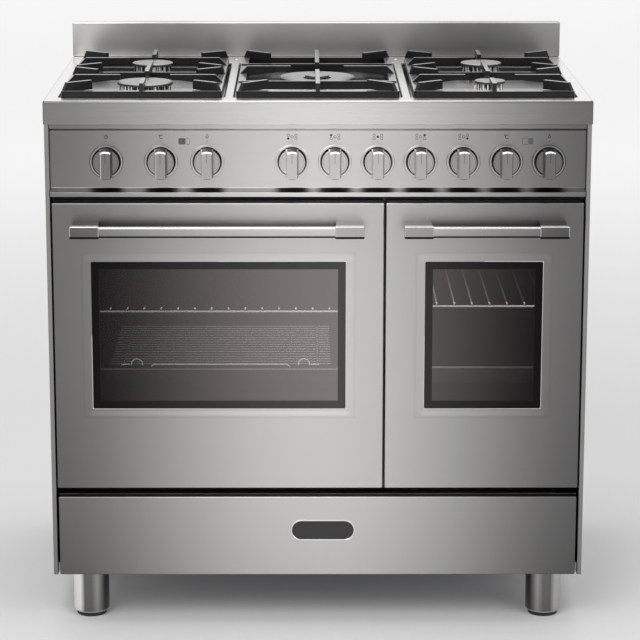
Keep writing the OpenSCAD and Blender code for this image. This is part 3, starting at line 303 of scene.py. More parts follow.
def folded_sheet(path, place, lo, hi):
    """A folded sheet: path's left side thickened, drawn from lo to hi by place(u, v, w)."""
    sharpest = 0.3
    offset = []
    for k, p in enumerate(path):
        before = (p - path[k - 1]).normalized() if k else (path[1] - p).normalized()
        after = (path[k + 1] - p).normalized() if k < len(path) - 1 else before
        mid = Vector((-(before + after).y, (before + after).x)).normalized()
        normal = Vector((-after.y, after.x))
        offset.append(p + mid * sizes().sheet / max(mid.dot(normal), sharpest))
    count = len(path)
    points = [place(p.x, p.y, w) for w in (lo, hi) for p in (*path, *offset)]
    faces = []
    for k in range(count - 1):
        faces.append((k, k + 1, 2 * count + k + 1, 2 * count + k))
        faces.append((count + k, count + k + 1, 3 * count + k + 1, 3 * count + k))
        for end in (0, 2 * count):
            faces.append((end + k, end + k + 1, end + count + k + 1, end + count + k))
    for k in (0, count - 1):
        faces.append((k, count + k, 3 * count + k, 2 * count + k))
    return points, faces


def soft_box(lo, hi, radius, segments=3):
    """A box with all its edges rounded."""
    bm = bmesh.new()
    bmesh.ops.create_cube(bm, size=1.0)
    size, middle = Vector(hi) - Vector(lo), (Vector(hi) + Vector(lo)) / 2
    for vert in bm.verts:
        vert.co = Vector(a * b for a, b in zip(vert.co, size)) + middle
    bmesh.ops.bevel(
        bm, geom=bm.edges[:], offset=radius, segments=segments, profile=0.5,
        affect="EDGES", clamp_overlap=True,
    )
    bm.verts.index_update()
    shape = [v.co.copy() for v in bm.verts], [[v.index for v in f.verts] for f in bm.faces]
    bm.free()
    return shape


def flat_fill(loops):
    """A flat face inside the first loop of points, with the others as holes."""
    lines = [[Vector(p) for p in loop] for loop in loops]
    return [p for line in lines for p in line], tessellate_polygon(lines)


def raw_object(name, shape):
    """A mesh object from points and faces, cleaned, with its faces outwards."""
    merge = 1e-6
    points, faces = shape
    bm = bmesh.new()
    verts = [bm.verts.new(p) for p in points]
    for side in faces:
        if len(set(side)) > 2:
            try:
                bm.faces.new([verts[k] for k in side])
            except ValueError:
                pass
    bmesh.ops.remove_doubles(bm, verts=bm.verts[:], dist=merge)
    bmesh.ops.recalc_face_normals(bm, faces=bm.faces[:])
    mesh = bpy.data.meshes.new(name)
    bm.to_mesh(mesh)
    bm.free()
    return placed_object(name, mesh)


def placed_object(name, data):
    """A new object in the scene that holds a mesh, a lamp or a camera."""
    made = bpy.data.objects.new(name, data)
    bpy.context.scene.collection.objects.link(made)
    return made


def cut_out(target, shape):
    """Takes a shape out of an object for good."""
    cutter = raw_object("cutter", shape)
    step = target.modifiers.new("Cut", "BOOLEAN")
    step.operation = "DIFFERENCE"
    step.solver = "EXACT"
    step.object = cutter
    graph = bpy.context.evaluated_depsgraph_get()
    mesh = bpy.data.meshes.new_from_object(target.evaluated_get(graph))
    target.modifiers.remove(step)
    plain, target.data = target.data, mesh
    bpy.data.meshes.remove(plain)
    bpy.data.objects.remove(cutter)


def weigh_normals(piece, keep_sharp):
    """Lets the large faces lead a piece's shading."""
    weighted = piece.modifiers.new("Normals", "WEIGHTED_NORMAL")
    weighted.keep_sharp = keep_sharp


def dress(piece, finish, stands_for=(), body="cooker", angle=35):
    """Gives a piece its finish, its shading with hard folds past angle and its body, and hides
    the CAD nodes that it stands for."""
    mesh = piece.data
    mesh.materials.clear()
    mesh.materials.append(finish)
    mesh.shade_smooth()
    mesh.set_sharp_from_angle(angle=math.radians(angle))
    weigh_normals(piece, True)
    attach(piece, body)
    if stands_for:
        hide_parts(*stands_for)


def add_piece(name, shape, finish, stands_for=(), body="cooker"):
    """A finished piece from a shape."""
    dress(raw_object(name, shape), finish, stands_for, body)


def paint(finish, *nodes, edge=0.0):
    """Gives CAD nodes a finish and, where edge is over 0, rounded edges."""
    merge, flat_angle, sharp_angle = 1e-5, 1, 32
    for node in nodes:
        cad = NODES[node]
        cad.data.materials.clear()
        cad.data.materials.append(finish)
        if edge:
            weld = cad.modifiers.new("Weld", "WELD")
            weld.merge_threshold = merge
            flat = cad.modifiers.new("Flat faces", "DECIMATE")
            flat.decimate_type = "DISSOLVE"
            flat.angle_limit = math.radians(flat_angle)
            bevel = cad.modifiers.new("Edges", "BEVEL")
            bevel.width = edge
            bevel.segments = 2
            bevel.limit_method = "ANGLE"
            bevel.angle_limit = math.radians(sharp_angle)
            bevel.use_clamp_overlap = True
            weigh_normals(cad, False)


# Node trees ----------------------------------------------------------------------


def maths(operation):
    """A method of Signal that adds one Math node."""

    def method(self, *others):
        settings, sockets = {"operation": operation}, dict(enumerate((self, *others)))
        return self.graph.node("ShaderNodeMath", settings, sockets)

    return method


class Signal:
    """An output socket; arithmetic on it adds Math nodes to its tree."""

    __add__ = __radd__ = maths("ADD")
    __mul__ = __rmul__ = maths("MULTIPLY")
    __sub__ = maths("SUBTRACT")
    __truediv__ = maths("DIVIDE")
    __pow__ = maths("POWER")
    __abs__ = maths("ABSOLUTE")
    above = maths("GREATER_THAN")
    below = maths("LESS_THAN")
    larger = maths("MAXIMUM")
    smaller = maths("MINIMUM")

    def __init__(self, graph, socket):
        self.graph = graph
        self.socket = socket

    def __rsub__(self, other):
        return self * -1.0 + other

    def within(self, lo, hi):
        return self.above(lo) * self.below(hi)

    def clamped(self):
        return self.larger(0.0).smaller(1.0)

    def toward(self, target, share):
        """From this value to the target as share goes from 0 to 1."""
        return self + (target - self) * share

    def ease(self, lo, hi):
        """Rises smoothly from 0 at lo to 1 at hi."""
        return self.graph.node(
            "ShaderNodeMapRange", {"interpolation_type": "SMOOTHSTEP"},
            {"Value": self, "From Min": lo, "From Max": hi},
        )

    def hump(self, rise, full, fall, end):
        """Rises smoothly from rise to full, and falls again from fall to end."""
        return self.ease(rise, full) * (1 - self.ease(fall, end))


class Graph:
    """A node tree in the making."""

    def __init__(self, tree):
        self.tree = tree

    def node(self, kind, settings=None, sockets=None, output=0):
        """Adds a node: its settings first, then its sockets' values or links.

        output is the socket that it gives back, or None for all of them."""
        made = self.tree.nodes.new(kind)
        for key, value in (settings or {}).items():
            if key == "stops":
                ramp = made.color_ramp.elements
                while len(ramp) < len(value):
                    ramp.new(0.5)
                for element, (place, rgb) in zip(ramp, value):
                    element.position = place
                    element.color = (*rgb, 1.0)
            else:
                setattr(made, key, value)
        for key, value in (sockets or {}).items():
            self.join(made.inputs[key], value)
        if output is None:
            return [Signal(self, socket) for socket in made.outputs]
        return Signal(self, made.outputs[output])

    def join(self, target, value):
        """Links a signal to a socket, or sets the socket's own value."""
        if isinstance(value, Signal):
            self.tree.links.new(value.socket, target)
        elif getattr(target, "type", "") == "RGBA" and len(value) == 3:
            target.default_value = (*value, 1.0)
        else:
            target.default_value = value


class Finish(Graph):
    """A material in the making, around its Principled shader."""

    def __init__(self, name, **fixed):
        self.material = bpy.data.materials.new(name)
        self.material.use_nodes = True
        super().__init__(self.material.node_tree)
        self.shader = self.tree.nodes["Principled BSDF"]
        for socket, value in fixed.items():
            self.feed(socket.replace("_", " "), value)

    def feed(self, name, value):
        """Sets or links one of the shader's sockets."""
        self.join(self.shader.inputs[name], value)

    def mix(self, share, dark, light):
        """A colour that goes from dark to light as share goes from 0 to 1."""
        settings = {"data_type": "RGBA"}
        return self.node("ShaderNodeMix", settings, {0: share, 6: dark, 7: light}, 2)

    def shade(self, share, dark, light, name="Base Color"):
        """Feeds such a colour to one of the shader's sockets."""
        self.feed(name, self.mix(share, dark, light))

    def cloud(self, share, tone, low, high):
        """Feeds a tone made darker by low where share is 0 and lighter by high at 1."""
        self.shade(share, scaled(tone, low), scaled(tone, high))

    def done(self, roughness=None, height=None, distance=0.0, strength=0.5):
        """Feeds a roughness and a relief, where there are any: gives the material."""
        if roughness is not None:
            self.feed("Roughness", roughness)
        if height is not None:
            sockets = {"Height": height, "Distance": distance, "Strength": strength}
            self.feed("Normal", self.node("ShaderNodeBump", sockets=sockets))
        return self.material

    def where(self):
        """The point on the piece, in metres."""
        return self.node("ShaderNodeTexCoord", output="Object")

    def split(self, vector):
        """The x, y and z of a vector."""
        return self.node("ShaderNodeSeparateXYZ", sockets={0: vector}, output=None)

    def place(self):
        """The x, y and z of the point on the piece."""
        return self.split(self.where())

    def facing(self):
        """The x, y and z of the way that the surface faces."""
        return self.split(self.node("ShaderNodeNewGeometry", output="Normal"))

    def noise(self, scale, detail=2.0, roughness=0.5):
        """Cloud noise around 0.5, with one scale or one along each axis."""
        where = self.where()
        if isinstance(scale, tuple):
            settings = {"operation": "MULTIPLY"}
            where = self.node("ShaderNodeVectorMath", settings, {0: where, 1: scale})
            scale = 1.0
        return self.node("ShaderNodeTexNoise", sockets={
            "Vector": where, "Scale": scale, "Detail": detail, "Roughness": roughness,
        })

    def cells(self, scale, output):
        """Round cells, by the distance from their middles or by their own colours."""
        sockets = {"Vector": self.where(), "Scale": scale}
        return self.node("ShaderNodeTexVoronoi", sockets=sockets, output=output)


def scaled(tone, share):
    """A colour made darker or lighter."""
    return tuple(min(1.0, share * c) for c in tone)


def lifted(tone, step):
    """A colour with a little white added."""
    return tuple(c + step for c in tone)


def to_nearest(x, places):
    """Distance along X to the nearest of some places."""
    near = abs(x - places[0])
    for place in places[1:]:
        near = near.smaller(abs(x - place))
    return near


def middle_share(x):
    """1 in the middle of the cooker's width, easing to 0 at its sides."""
    return (1 - abs(x) / SHEEN_REACH).ease(0.0, 1.0)


def painted_window_glow(x):
    """The painted glow of the main and the small window, along X: most near the middle."""
    main = x.ease(-0.41, 0.07) * 0.96 + 0.04
    small = (1 - x.ease(0.06, 0.4)) * 0.57 + 0.04
    return main, small


# Steel ---------------------------------------------------------------------------
#
# A sheen is a painted level of reflected studio light in the steel's colour: 0 is black, 1 its
# full tone.


def painted_sheen_field(made, low, high):
    """The painted sheen from the cooker's left side over its middle to its right side.

    low and high are (height, left, middle, right) at two heights."""
    x, _, z = made.place()
    (z0, *lows), (z1, *highs) = low, high
    share = ((z - z0) / (z1 - z0)).clamped()
    left, middle, right = (share * (b - a) + a for a, b in zip(lows, highs))
    # Painted sheen: brightest in the middle of the width, standing in for the studio's
    # reflection.
    return left.toward(right, x.above(0.0)).toward(middle, middle_share(x))


def grained(made, sheen, grain=BRUSHED_X, roughness=0.3):
    """Feeds a painted sheen to a finish with the fine lines of brushed steel over it."""
    lines = made.noise(grain, 3.0, 0.6)
    cloud = made.noise(5.0, 1.0)
    made.shade(sheen * (0.965 + 0.035 * lines + 0.035 * cloud), BLACK, hue("steel"))
    return made.done(roughness - 0.03 + 0.06 * lines, lines, 0.00001, 0.4)


def brushed(name, low, high, foot=None, **surface):
    """Brushed steel with its painted sheen at two heights.

    With foot, what faces up or sideways gets a painted highlight, and what lies below foot is
    painted dark as shade."""
    made = Finish(name, Metallic=1.0)
    sheen = painted_sheen_field(made, low, high)
    if foot:
        nx, _, nz = made.facing()
        # Painted highlight on edges that face up or sideways; painted dark line below foot.
        bright, dark = 0.75, 0.012
        sheen = sheen.toward(bright, nz.larger(abs(nx)).ease(0.25, 0.6))
        sheen = sheen.toward(dark, made.place()[2].below(foot))
    return grained(made, sheen, **surface)


def hob_finish(name, top):
    """Painted sheen: bright above, falling to the front's painted sheen on the apron; the wells'
    front half gets a weak painted glow as emission and their rear half is painted dark as a
    reflection of the dark castings, with the rounded rim painted darker."""
    made = Finish(name)
    _, y, z = made.place()
    apron_tones = (0.286, 0.94, 0.21)
    apron = painted_sheen_field(made, (top - 0.04, *apron_tones), (top, *apron_tones))
    # Painted reflection and glow in the wells, and painted shade on the rounded rim.
    rear = y.ease(-0.14, 0.06)
    deep = z.below(top - 0.004) * y.above(-0.245)
    painted_light = deep * (1 - rear)
    flat = z.above(top - 0.0003)
    rim = z.above(top - 0.0034) * (1 - flat)
    outside = apron.toward(0.86, flat) * (1 - 0.45 * rim)
    sheen = outside.toward(0.8 - 0.65 * rear, deep)
    made.feed("Metallic", 1 - 0.8 * painted_light)
    made.feed("Emission Strength", 1.0)
    made.shade(painted_light * 0.1, BLACK, hue("steel"), "Emission Color")
    return grained(made, sheen, roughness=0.28)


def upstand_finish(name):
    """Steel with a painted sheen and a painted reflection of the dark pan supports in front of
    it.
    """
    made = Finish(name, Metallic=1.0)
    supports_x = 0.28
    # Painted reflection: darker where the pan supports stand in front.
    behind = 1 - abs(abs(made.place()[0]) - supports_x).ease(0.02, 0.13)
    sheen = painted_sheen_field(made, (0.9, 0.42, 0.25, 0.24), (0.96, 0.7, 0.54, 0.39))
    return grained(made, sheen * (1 - 0.33 * behind))


def panel_finish(name, lower, upper, knobs):
    """The control panel's steel with a painted sheen, dimmer on its sloping edge, which runs
    from lower to upper, and the knobs' painted soft shadows on that edge."""
    made = Finish(name, Metallic=1.0)
    x, _, z = made.place()
    face = painted_sheen_field(made, (lower, 0.24, 0.86, 0.2), (upper, 0.209, 0.825, 0.164))
    slope = painted_sheen_field(made, (lower, 0.24, 0.33, 0.2), (upper, 0.27, 0.42, 0.24))
    # Painted shadows of the knobs on the sloping edge.
    slope = slope * (0.08 + 0.92 * to_nearest(x, knobs).ease(0.016, 0.037))
    return grained(made, face.toward(slope, z.within(lower, upper)))


def bezel_finish(name, knobs):
    """A bezel: a painted highlight on its flat ring inside its turned edge, which is painted
    dark towards the cooker's sides.
    """
    made = Finish(name, Metallic=1.0)
    x, _, z = made.place()
    near = to_nearest(x, knobs)
    away = (near * near + (z - KNOB_AXIS_Z) ** 2.0) ** 0.5
    # Painted highlight on the ring, painted shade on the turned edge.
    ring, edge = (
        painted_sheen_field(made, (0.0, *tones), (1.0, *tones))
        for tones in ((0.42, 0.98, 0.36), (0.06, 0.75, 0.06))
    )
    return grained(made, ring.toward(edge, away.ease(0.0259, 0.0265)), TURNED, 0.24)


def knob_finish(name):
    """A knob with painted light: a painted highlight on the bevel over its grip and on its left
    edge, painted shade on its right edge, on what faces up, in its groove and at the grip's
    foot, and a painted sheen that is paler the nearer it is to the middle of the cooker."""
    made = Finish(name, Metallic=1.0)
    x, y, z = made.place()
    nx, _, nz = made.facing()
    spot = made.split(made.node("ShaderNodeObjectInfo", output="Location"))[0]
    bell = middle_share(spot)
    front = y.below(0.0022)
    # Painted highlights on the bevel and left edge; painted shade on the right edge and upper
    # faces.
    bevel = nz.hump(0.3, 0.5, 0.78, 0.86) * y.below(0.0032)
    left = x.below(-0.0068) * front * (1 - bell) * spot.below(0.1)
    right = nx.larger(nz * -1.0).ease(0.3, 0.7)
    upward_shade = nz.ease(0.87, 0.93)
    sheen = (0.15 + 0.61 * bell).toward(0.8, bevel.larger(left))
    sheen = sheen * (1 - 0.7 * right) * (1 - 0.985 * upward_shade)
    # Painted shade in the pointer groove and at the grip's foot.
    groove = abs(x).below(0.0006) * z.above(GROOVE_TOP - sizes().groove) * front
    foot = z.below(-0.0242) * front
    sheen = sheen * (1 - 0.25 * groove) * (1 - 0.6 * foot)
    return grained(made, sheen, BRUSHED_Z, 0.26)


def door_finish(name, middle, half, bar):
    """A door's steel with a painted sheen: a little lighter on the pressed slope round the
    window and darker at the slope's outer edge, a painted highlight at the window's far edges,
    and a painted shade over the handle's bar, which is given by its left, right and top."""
    made = Finish(name, Metallic=1.0)
    x, _, z = made.place()
    left, right, top = bar
    band = sizes().slope
    u, v = x - middle[0], z - middle[1]
    out = (abs(u) - half[0]).larger(abs(v) - half[1])
    pressed = out.below(band - 0.001) * (1 - out.ease(0.3 * band, band) * 0.6)
    edge = out.within(band - 0.003, band + 0.0015)
    painted_far_highlight = u.above(0.0).larger(v.below(0.0)) * out.below(0.0009)
    # Painted shade on the door above the handle's bar.
    over = z.hump(top - 0.024, top - 0.016, top - 0.009, top + 0.005)
    beside = x.hump(left - 0.006, left + 0.006, right - 0.006, right + 0.006)
    sheen = painted_sheen_field(made, (0.24, 0.132, 0.632, 0.113), (0.73, 0.2, 0.677, 0.167))
    sheen = sheen * (1 + 0.03 * pressed) * (1 - 0.05 * edge)
    sheen = sheen.toward(0.8, painted_far_highlight * 0.8) * (1 - 0.74 * over * beside)
    return grained(made, sheen)


def foot_finish(name, middle, radius):
    """Round steel with painted upright bands of reflected studio light, painted darker on the
    right feet's outer sides and lighter on what faces down.
    """
    made = Finish(name, Metallic=1.0)
    x = made.place()[0]
    out = (abs(x) - middle) / (2 * radius) + 0.5
    # Painted reflection bands across a foot, from its inner side to its outer side.
    bands = (
        (0.02, 0.15), (0.09, 0.06), (0.18, 0.19), (0.3, 0.38), (0.46, 0.17), (0.66, 0.16),
        (0.78, 0.95), (1.0, 1.0),
    )
    stops = tuple((share, (level,) * 3) for share, level in bands)
    sheen = made.split(made.node("ShaderNodeValToRGB", {"stops": stops}, {"Fac": out}))[0]
    right_side_shade = x.above(0.0) * out.ease(0.6, 0.75)
    fine = made.noise((40.0, 40.0, 1500.0))
    underside_highlight = (made.facing()[2] * -1.0).ease(0.1, 0.7)
    sheen = (sheen * (1 - 0.5 * right_side_shade) * (0.94 + 0.06 * fine)).toward(0.6, underside_highlight)
    made.shade(sheen, BLACK, hue("steel"))
    return made.done(0.2 + 0.1 * fine)


def plain_steel(name, tone, roughness=0.3, grain=BRUSHED_Y, spread=0.06):
    """Brushed steel of one even tone."""
    made = Finish(name, Metallic=1.0)
    lines = made.noise(grain, 3.0, 0.6)
    cloud = made.noise(4.0)
    made.shade(1.0 - spread + spread * lines + spread * cloud, BLACK, tone)
    return made.done(roughness - 0.05 + 0.1 * lines, lines, 0.00002)


# Other finishes ------------------------------------------------------------------


def satin(name, tone, metallic, roughness, scale=300.0, relief=0.00002):
    """A fine-grained casting, plating or moulding."""
    made = Finish(name, Metallic=metallic)
    grain = made.noise(scale, 3.0, 0.6)
    cloud = made.noise(9.0)
    made.cloud(0.5 * grain + 0.5 * cloud, tone, 0.92, 1.08)
    return made.done(roughness - 0.06 + 0.12 * cloud, grain, relief, 0.6)


def enamel(name, tone):
    """Glossy vitreous enamel with fine pale specks."""
    made = Finish(name, Coat_Weight=0.3, Coat_Roughness=0.1)
    speck = 1 - made.cells(420.0, "Distance").ease(0.08, 0.2)
    wave = made.noise(60.0)
    made.shade(speck * 0.3, tone, lifted(tone, 0.02))
    return made.done(0.18 + 0.08 * wave, wave, 0.00002, 0.3)


def clouded(name, tone, scale, detail, specular, roughness, spread):
    """A coat of slightly uneven density, with no gloss over it: oven enamel or ink."""
    made = Finish(name, Specular_IOR_Level=specular)
    cloud = made.noise(scale, detail)
    made.cloud(cloud, tone, 0.85, 1.15)
    return made.done(roughness + spread * cloud)


def printing_ink(name, tone):
    """Matt printing ink."""
    return clouded(name, tone, 900.0, 3.0, 0.08, 0.5, 0.1)


def cast_iron(name, tone):
    """Enamelled casting: near black, with a thin gloss on what faces up and a painted highlight
    there too.
    """
    made = Finish(name, Specular_IOR_Level=0.2, Coat_Roughness=0.14)
    up = made.facing()[2].ease(0.45, 0.9)
    pits = made.noise(700.0, 3.0, 0.65)
    mottle = made.noise(35.0)
    body = made.mix(mottle, scaled(tone, 0.5), scaled(tone, 1.1))
    # Painted highlight: what faces up is lighter.
    made.shade(up * (0.6 + 0.4 * mottle), body, scaled(tone, 14.0))
    made.feed("Coat Weight", 0.1 + 0.9 * up)
    return made.done(0.3 + 0.12 * pits, pits, 0.00004)


def cap_finish(name, tone):
    """Satin burner cap, with painted shade round its upright side."""
    made = Finish(name, Metallic=0.8)
    grain = made.noise(500.0, 3.0, 0.6)
    side = 1 - made.facing()[2].ease(0.25, 0.85)
    # Painted shade on the upright side.
    made.shade((0.92 + 0.16 * grain) * (1 - 0.8 * side), BLACK, tone)
    return made.done(0.36 + 0.1 * grain, grain, 0.00003)


def crown_finish(name, tone):
    """Polished die-cast burner body: its upright sides painted black with painted glints in
    upright streaks, and what faces up at a third of its tone.
    """
    made = Finish(name, Metallic=0.3)
    glint_columns = made.noise((260.0, 260.0, 8.0), 1.0)
    side = 1 - made.facing()[2].ease(0.3, 0.7)
    # Painted glints and painted shade on the sides.
    made.shade(side * (0.02 + 0.98 * glint_columns.ease(0.5, 0.56)) + 0.3 * (1 - side), BLACK, tone)
    return made.done(0.16 + 0.1 * glint_columns)


def wire_finish(name, tone):
    """Plated wire, painted near black deep in the ovens, with painted glints given off as
    emission where it faces up near the front of the ovens.
    """
    made = Finish(name, Metallic=0.6, Emission_Strength=1.0)
    x, y, z = made.place()
    nz = made.facing()[2]
    small = x.above(OVEN_SPLIT_X)
    grid = z.below(0.45)
    near = y.below(FRONT_WIRES_Y)
    main_glow, small_glow = painted_window_glow(x)
    # Painted glint levels for the front wires, bar ends, grid bars and slant wires.
    level = (0.55 + 1.7 * main_glow) * (1 - small) + 1.8 * small * x.below(0.376)
    dots = y.within(-0.1975, -0.188) * (1 - grid) * level * 1.5
    runner = abs(abs(x - MAIN_OVEN_X) + MAIN_OVEN_X).below(0.003)
    bars = grid * (0.2 + 1.4 * main_glow) * (1 - small) * (1 - 0.6 * runner) * nz.ease(0.55, 0.9)
    slant = small * (1 - grid) * small_glow * 1.9 * (1 - y.ease(-0.2, 0.14))
    painted_glint = near * (1 - grid) * level + (1 - near) * (bars + slant).larger(dots)
    grain = made.noise(200.0)
    made.shade(0.3 * near + 0.03 * grain, (0.004, 0.004, 0.004), tone)
    made.feed("Roughness", 0.28 + 0.08 * grain)
    made.shade(nz.ease(0.1, 0.7) * painted_glint * 0.5, BLACK, (2.0, 1.9, 1.9), "Emission Color")
    return made.done()


def handle_wire_finish(name, tone):
    """Wire of the tray's handles, painted bright with a painted glow as emission, following the
    window's painted glow over it.
    """
    made = Finish(name, Metallic=0.6, Roughness=0.3, Emission_Strength=1.6)
    painted_light = 0.45 + 0.55 * painted_window_glow(made.place()[0])[0]
    made.shade(painted_light, (0.01, 0.01, 0.01), tone)
    made.shade(painted_light, BLACK, (1.0, 0.95, 0.95), "Emission Color")
    return made.done()


def tray_finish(name, tone):
    """Black enamel trays whose front rims get a little painted light as emission."""
    made = Finish(name, Roughness=0.2, Coat_Weight=0.3, Emission_Strength=1.0)
    x, y, z = made.place()
    main_rim, small_rim = 0.4297, 0.4327
    small = x.above(OVEN_SPLIT_X)
    main_glow, small_glow = painted_window_glow(x)
    edge = z.above(small_rim).larger(0.1 * z.ease(0.395, small_rim))
    rim = z.above(main_rim) * (1 - small) + small * edge
    level = (0.1 + 0.4 * main_glow) * (1 - small) + (0.1 + 1.3 * small_glow) * small
    wave = made.noise(60.0)
    made.shade(wave, tone, lifted(tone, 0.01))
    painted_light = y.below(FRONT_WIRES_Y) * rim * level
    made.shade(painted_light, BLACK, (1.0, 0.93, 0.92), "Emission Color")
    return made.done(None, wave, 0.00002, 0.3)


def zinc_sheet(name, share=1.0):
    """Zinc-coated sheet with its large pale crystals."""
    made = Finish(name, Metallic=0.85)
    crystals = made.cells(70.0, "Color")
    tint = made.node("ShaderNodeSeparateColor", sockets={"Color": crystals})
    made.cloud(tint, scaled(hue("zinc"), share), 0.85, 1.12)
    return made.done(0.36 + 0.12 * tint)


def heated_sheath(name, tone):
    """Element sheath with the blue and straw stains of heat."""
    made = Finish(name, Metallic=0.8)
    stain = made.noise(26.0, 3.0)
    stops = (0.3, scaled(tone, 0.7)), (0.55, tone), (0.75, (0.16, 0.15, 0.17))
    made.feed("Base Color", made.node("ShaderNodeValToRGB", {"stops": stops}, {"Fac": stain}))
    return made.done(0.4 + 0.15 * stain)


def wool_finish(name, tone):
    """Pressed mineral wool: tangled fibres."""
    made = Finish(name, Roughness=0.95)
    fibre = made.noise((900.0, 200.0, 400.0), 4.0, 0.7)
    made.cloud(fibre, tone, 0.6, 1.25)
    return made.done(None, fibre, 0.0008, 0.8)


def window_finish(name, middle, half):
    """Window pane: a black printed border round a clear part with a painted glow as emission
    near the middle of the cooker, where the border and its hairline are also painted lighter."""
    made = Finish(name, Roughness=0.06, Specular_IOR_Level=0.03, Emission_Strength=1.0)
    x, _, z = made.place()
    border, line_width, ink = sizes().border, 0.0006, hue("border_ink")
    out = (abs(x - middle[0]) - half[0]).larger(abs(z - middle[1]) - half[1])
    printed = out.above(-border)
    hairline = printed - out.above(line_width - border)
    main_glow, small_glow = painted_window_glow(x)
    glow = main_glow.toward(small_glow, x.above(OVEN_SPLIT_X))
    clear = made.mix(glow, BLACK, (0.28, 0.248, 0.248))
    body = made.mix(printed, BLACK, made.mix(glow, scaled(ink, 0.3), scaled(ink, 7.0)))
    made.shade(hairline * (0.1 + 0.4 * glow), body, hue("hairline"))
    made.shade(printed, clear, BLACK, "Emission Color")
    made.feed("Alpha", printed.larger(colours().clear))
    return made.done()


def clear_pane(name):
    """Inner pane: almost clear, seen by its gloss."""
    made = Finish(name, Base_Color=BLACK, Specular_IOR_Level=0.03, Alpha=colours().inner)
    return made.done(0.04 + 0.04 * made.noise(14.0))


def lamp_cover(name):
    """Clear ribbed lamp glass over a pale socket."""
    made = Finish(name, Roughness=0.08, Transmission_Weight=0.75, IOR=1.45)
    ribs = made.noise((300.0, 20.0, 300.0), 1.0)
    made.shade(ribs, (0.82, 0.8, 0.72), (0.95, 0.94, 0.9))
    return made.done(None, ribs, 0.0002)


# Operators -----------------------------------------------------------------------


class CookerOperator:
    """Settings that all the operators share."""

    bl_options = {"REGISTER", "UNDO"}


class BuildStage(CookerOperator, bpy.types.Operator):
    """Makes the floor, the world, the lamps and the camera"""

    bl_idname = "cooker.stage"
    bl_label = "Stage"

    def execute(self, context):
        self.add_floor()
        self.add_world()
        hob, middle = (0.0, 0.0, 0.9), (0.0, 0.0, 0.5)
        for name, place, aim, size, power in (
            ("key", (-1.6, -3.4, 3.4), middle, 2.6, 70.0),
            ("fill", (2.6, -2.8, 2.4), middle, 2.4, 30.0),
            ("top", (0.0, 0.3, 3.6), hob, 2.4, 40.0),
        ):
            self.add_lamp(name, place, aim, size, power)
        self.add_camera()
        context.scene.view_settings.view_transform = "Standard"
        return {"FINISHED"}

    def add_floor(self):
        """A pale floor that glows towards white far from the cooker, to the camera only."""
        mesh = bpy.data.meshes.new("floor")
        reach = 40.0
        corners = [(u * reach, v * reach, 0) for u, v in ((-1, -1), (1, -1), (1, 1), (-1, 1))]
        mesh.from_pydata(corners, [], [(0, 1, 2, 3)])
        floor = placed_object("floor", mesh)
        made = Finish("studio floor", Roughness=0.9, Specular_IOR_Level=0.1)
        made.cloud(made.noise(1.5), hue("floor"), 0.995, 1.005)
        length_of = {"operation": "LENGTH"}
        away = made.node("ShaderNodeVectorMath", length_of, {0: made.where()}, "Value")
        seen = made.node("ShaderNodeLightPath", output="Is Camera Ray")
        glow = (0.4 * away.ease(0.9, 5.0) + 0.1 * away.ease(4.0, 14.0)) * seen
        made.feed("Emission Strength", 1.0)
        made.shade(glow, BLACK, WHITE, "Emission Color")
        mesh.materials.append(made.material)

    def add_world(self):
        """White round the cooker, dimmer where it only lights it than where it is seen."""
        lighting, seen = 0.55, 0.95
        world = bpy.data.worlds.new("studio")
        bpy.context.scene.world = world
        world.use_nodes = True
        graph = Graph(world.node_tree)
        camera, glossy, clear = (
            graph.node("ShaderNodeLightPath", output=f"Is {ray} Ray")
            for ray in ("Camera", "Glossy", "Transmission")
        )
        share = {"Value": camera.larger(glossy).larger(clear)}
        strength = graph.node(
            "ShaderNodeMapRange", sockets=share | {"To Min": lighting, "To Max": seen}
        )
        back = graph.tree.nodes["Background"]
        graph.join(back.inputs["Color"], WHITE)
        graph.join(back.inputs["Strength"], strength)

    def add_lamp(self, name, place, aim, size, power):
        """A square soft lamp that looks at a point."""
        data = bpy.data.lights.new(name, "AREA")
        data.shape = "SQUARE"
        data.size = size
        data.energy = power
        lamp = placed_object(name, data)
        lamp.location = place
        lamp.rotation_euler = (Vector(aim) - Vector(place)).to_track_quat("-Z", "Y").to_euler()

    def add_camera(self):
        """The photograph's view: from the front, a little above the hob."""
        tilt, turn = 0.2220575, -0.0015137
        data = bpy.data.cameras.new("camera")
        data.sensor_width = 36.0
        data.lens = 144.4801
        data.shift_x = 0.02
        data.shift_y = -0.02
        data.clip_start = 0.05
        data.clip_end = 200.0
        camera = placed_object("camera", data)
        camera.location = (-0.02394, -4.435728, 1.494415)
        camera.rotation_euler = (math.pi / 2 - tilt, 0.0, turn)
        bpy.context.scene.camera = camera


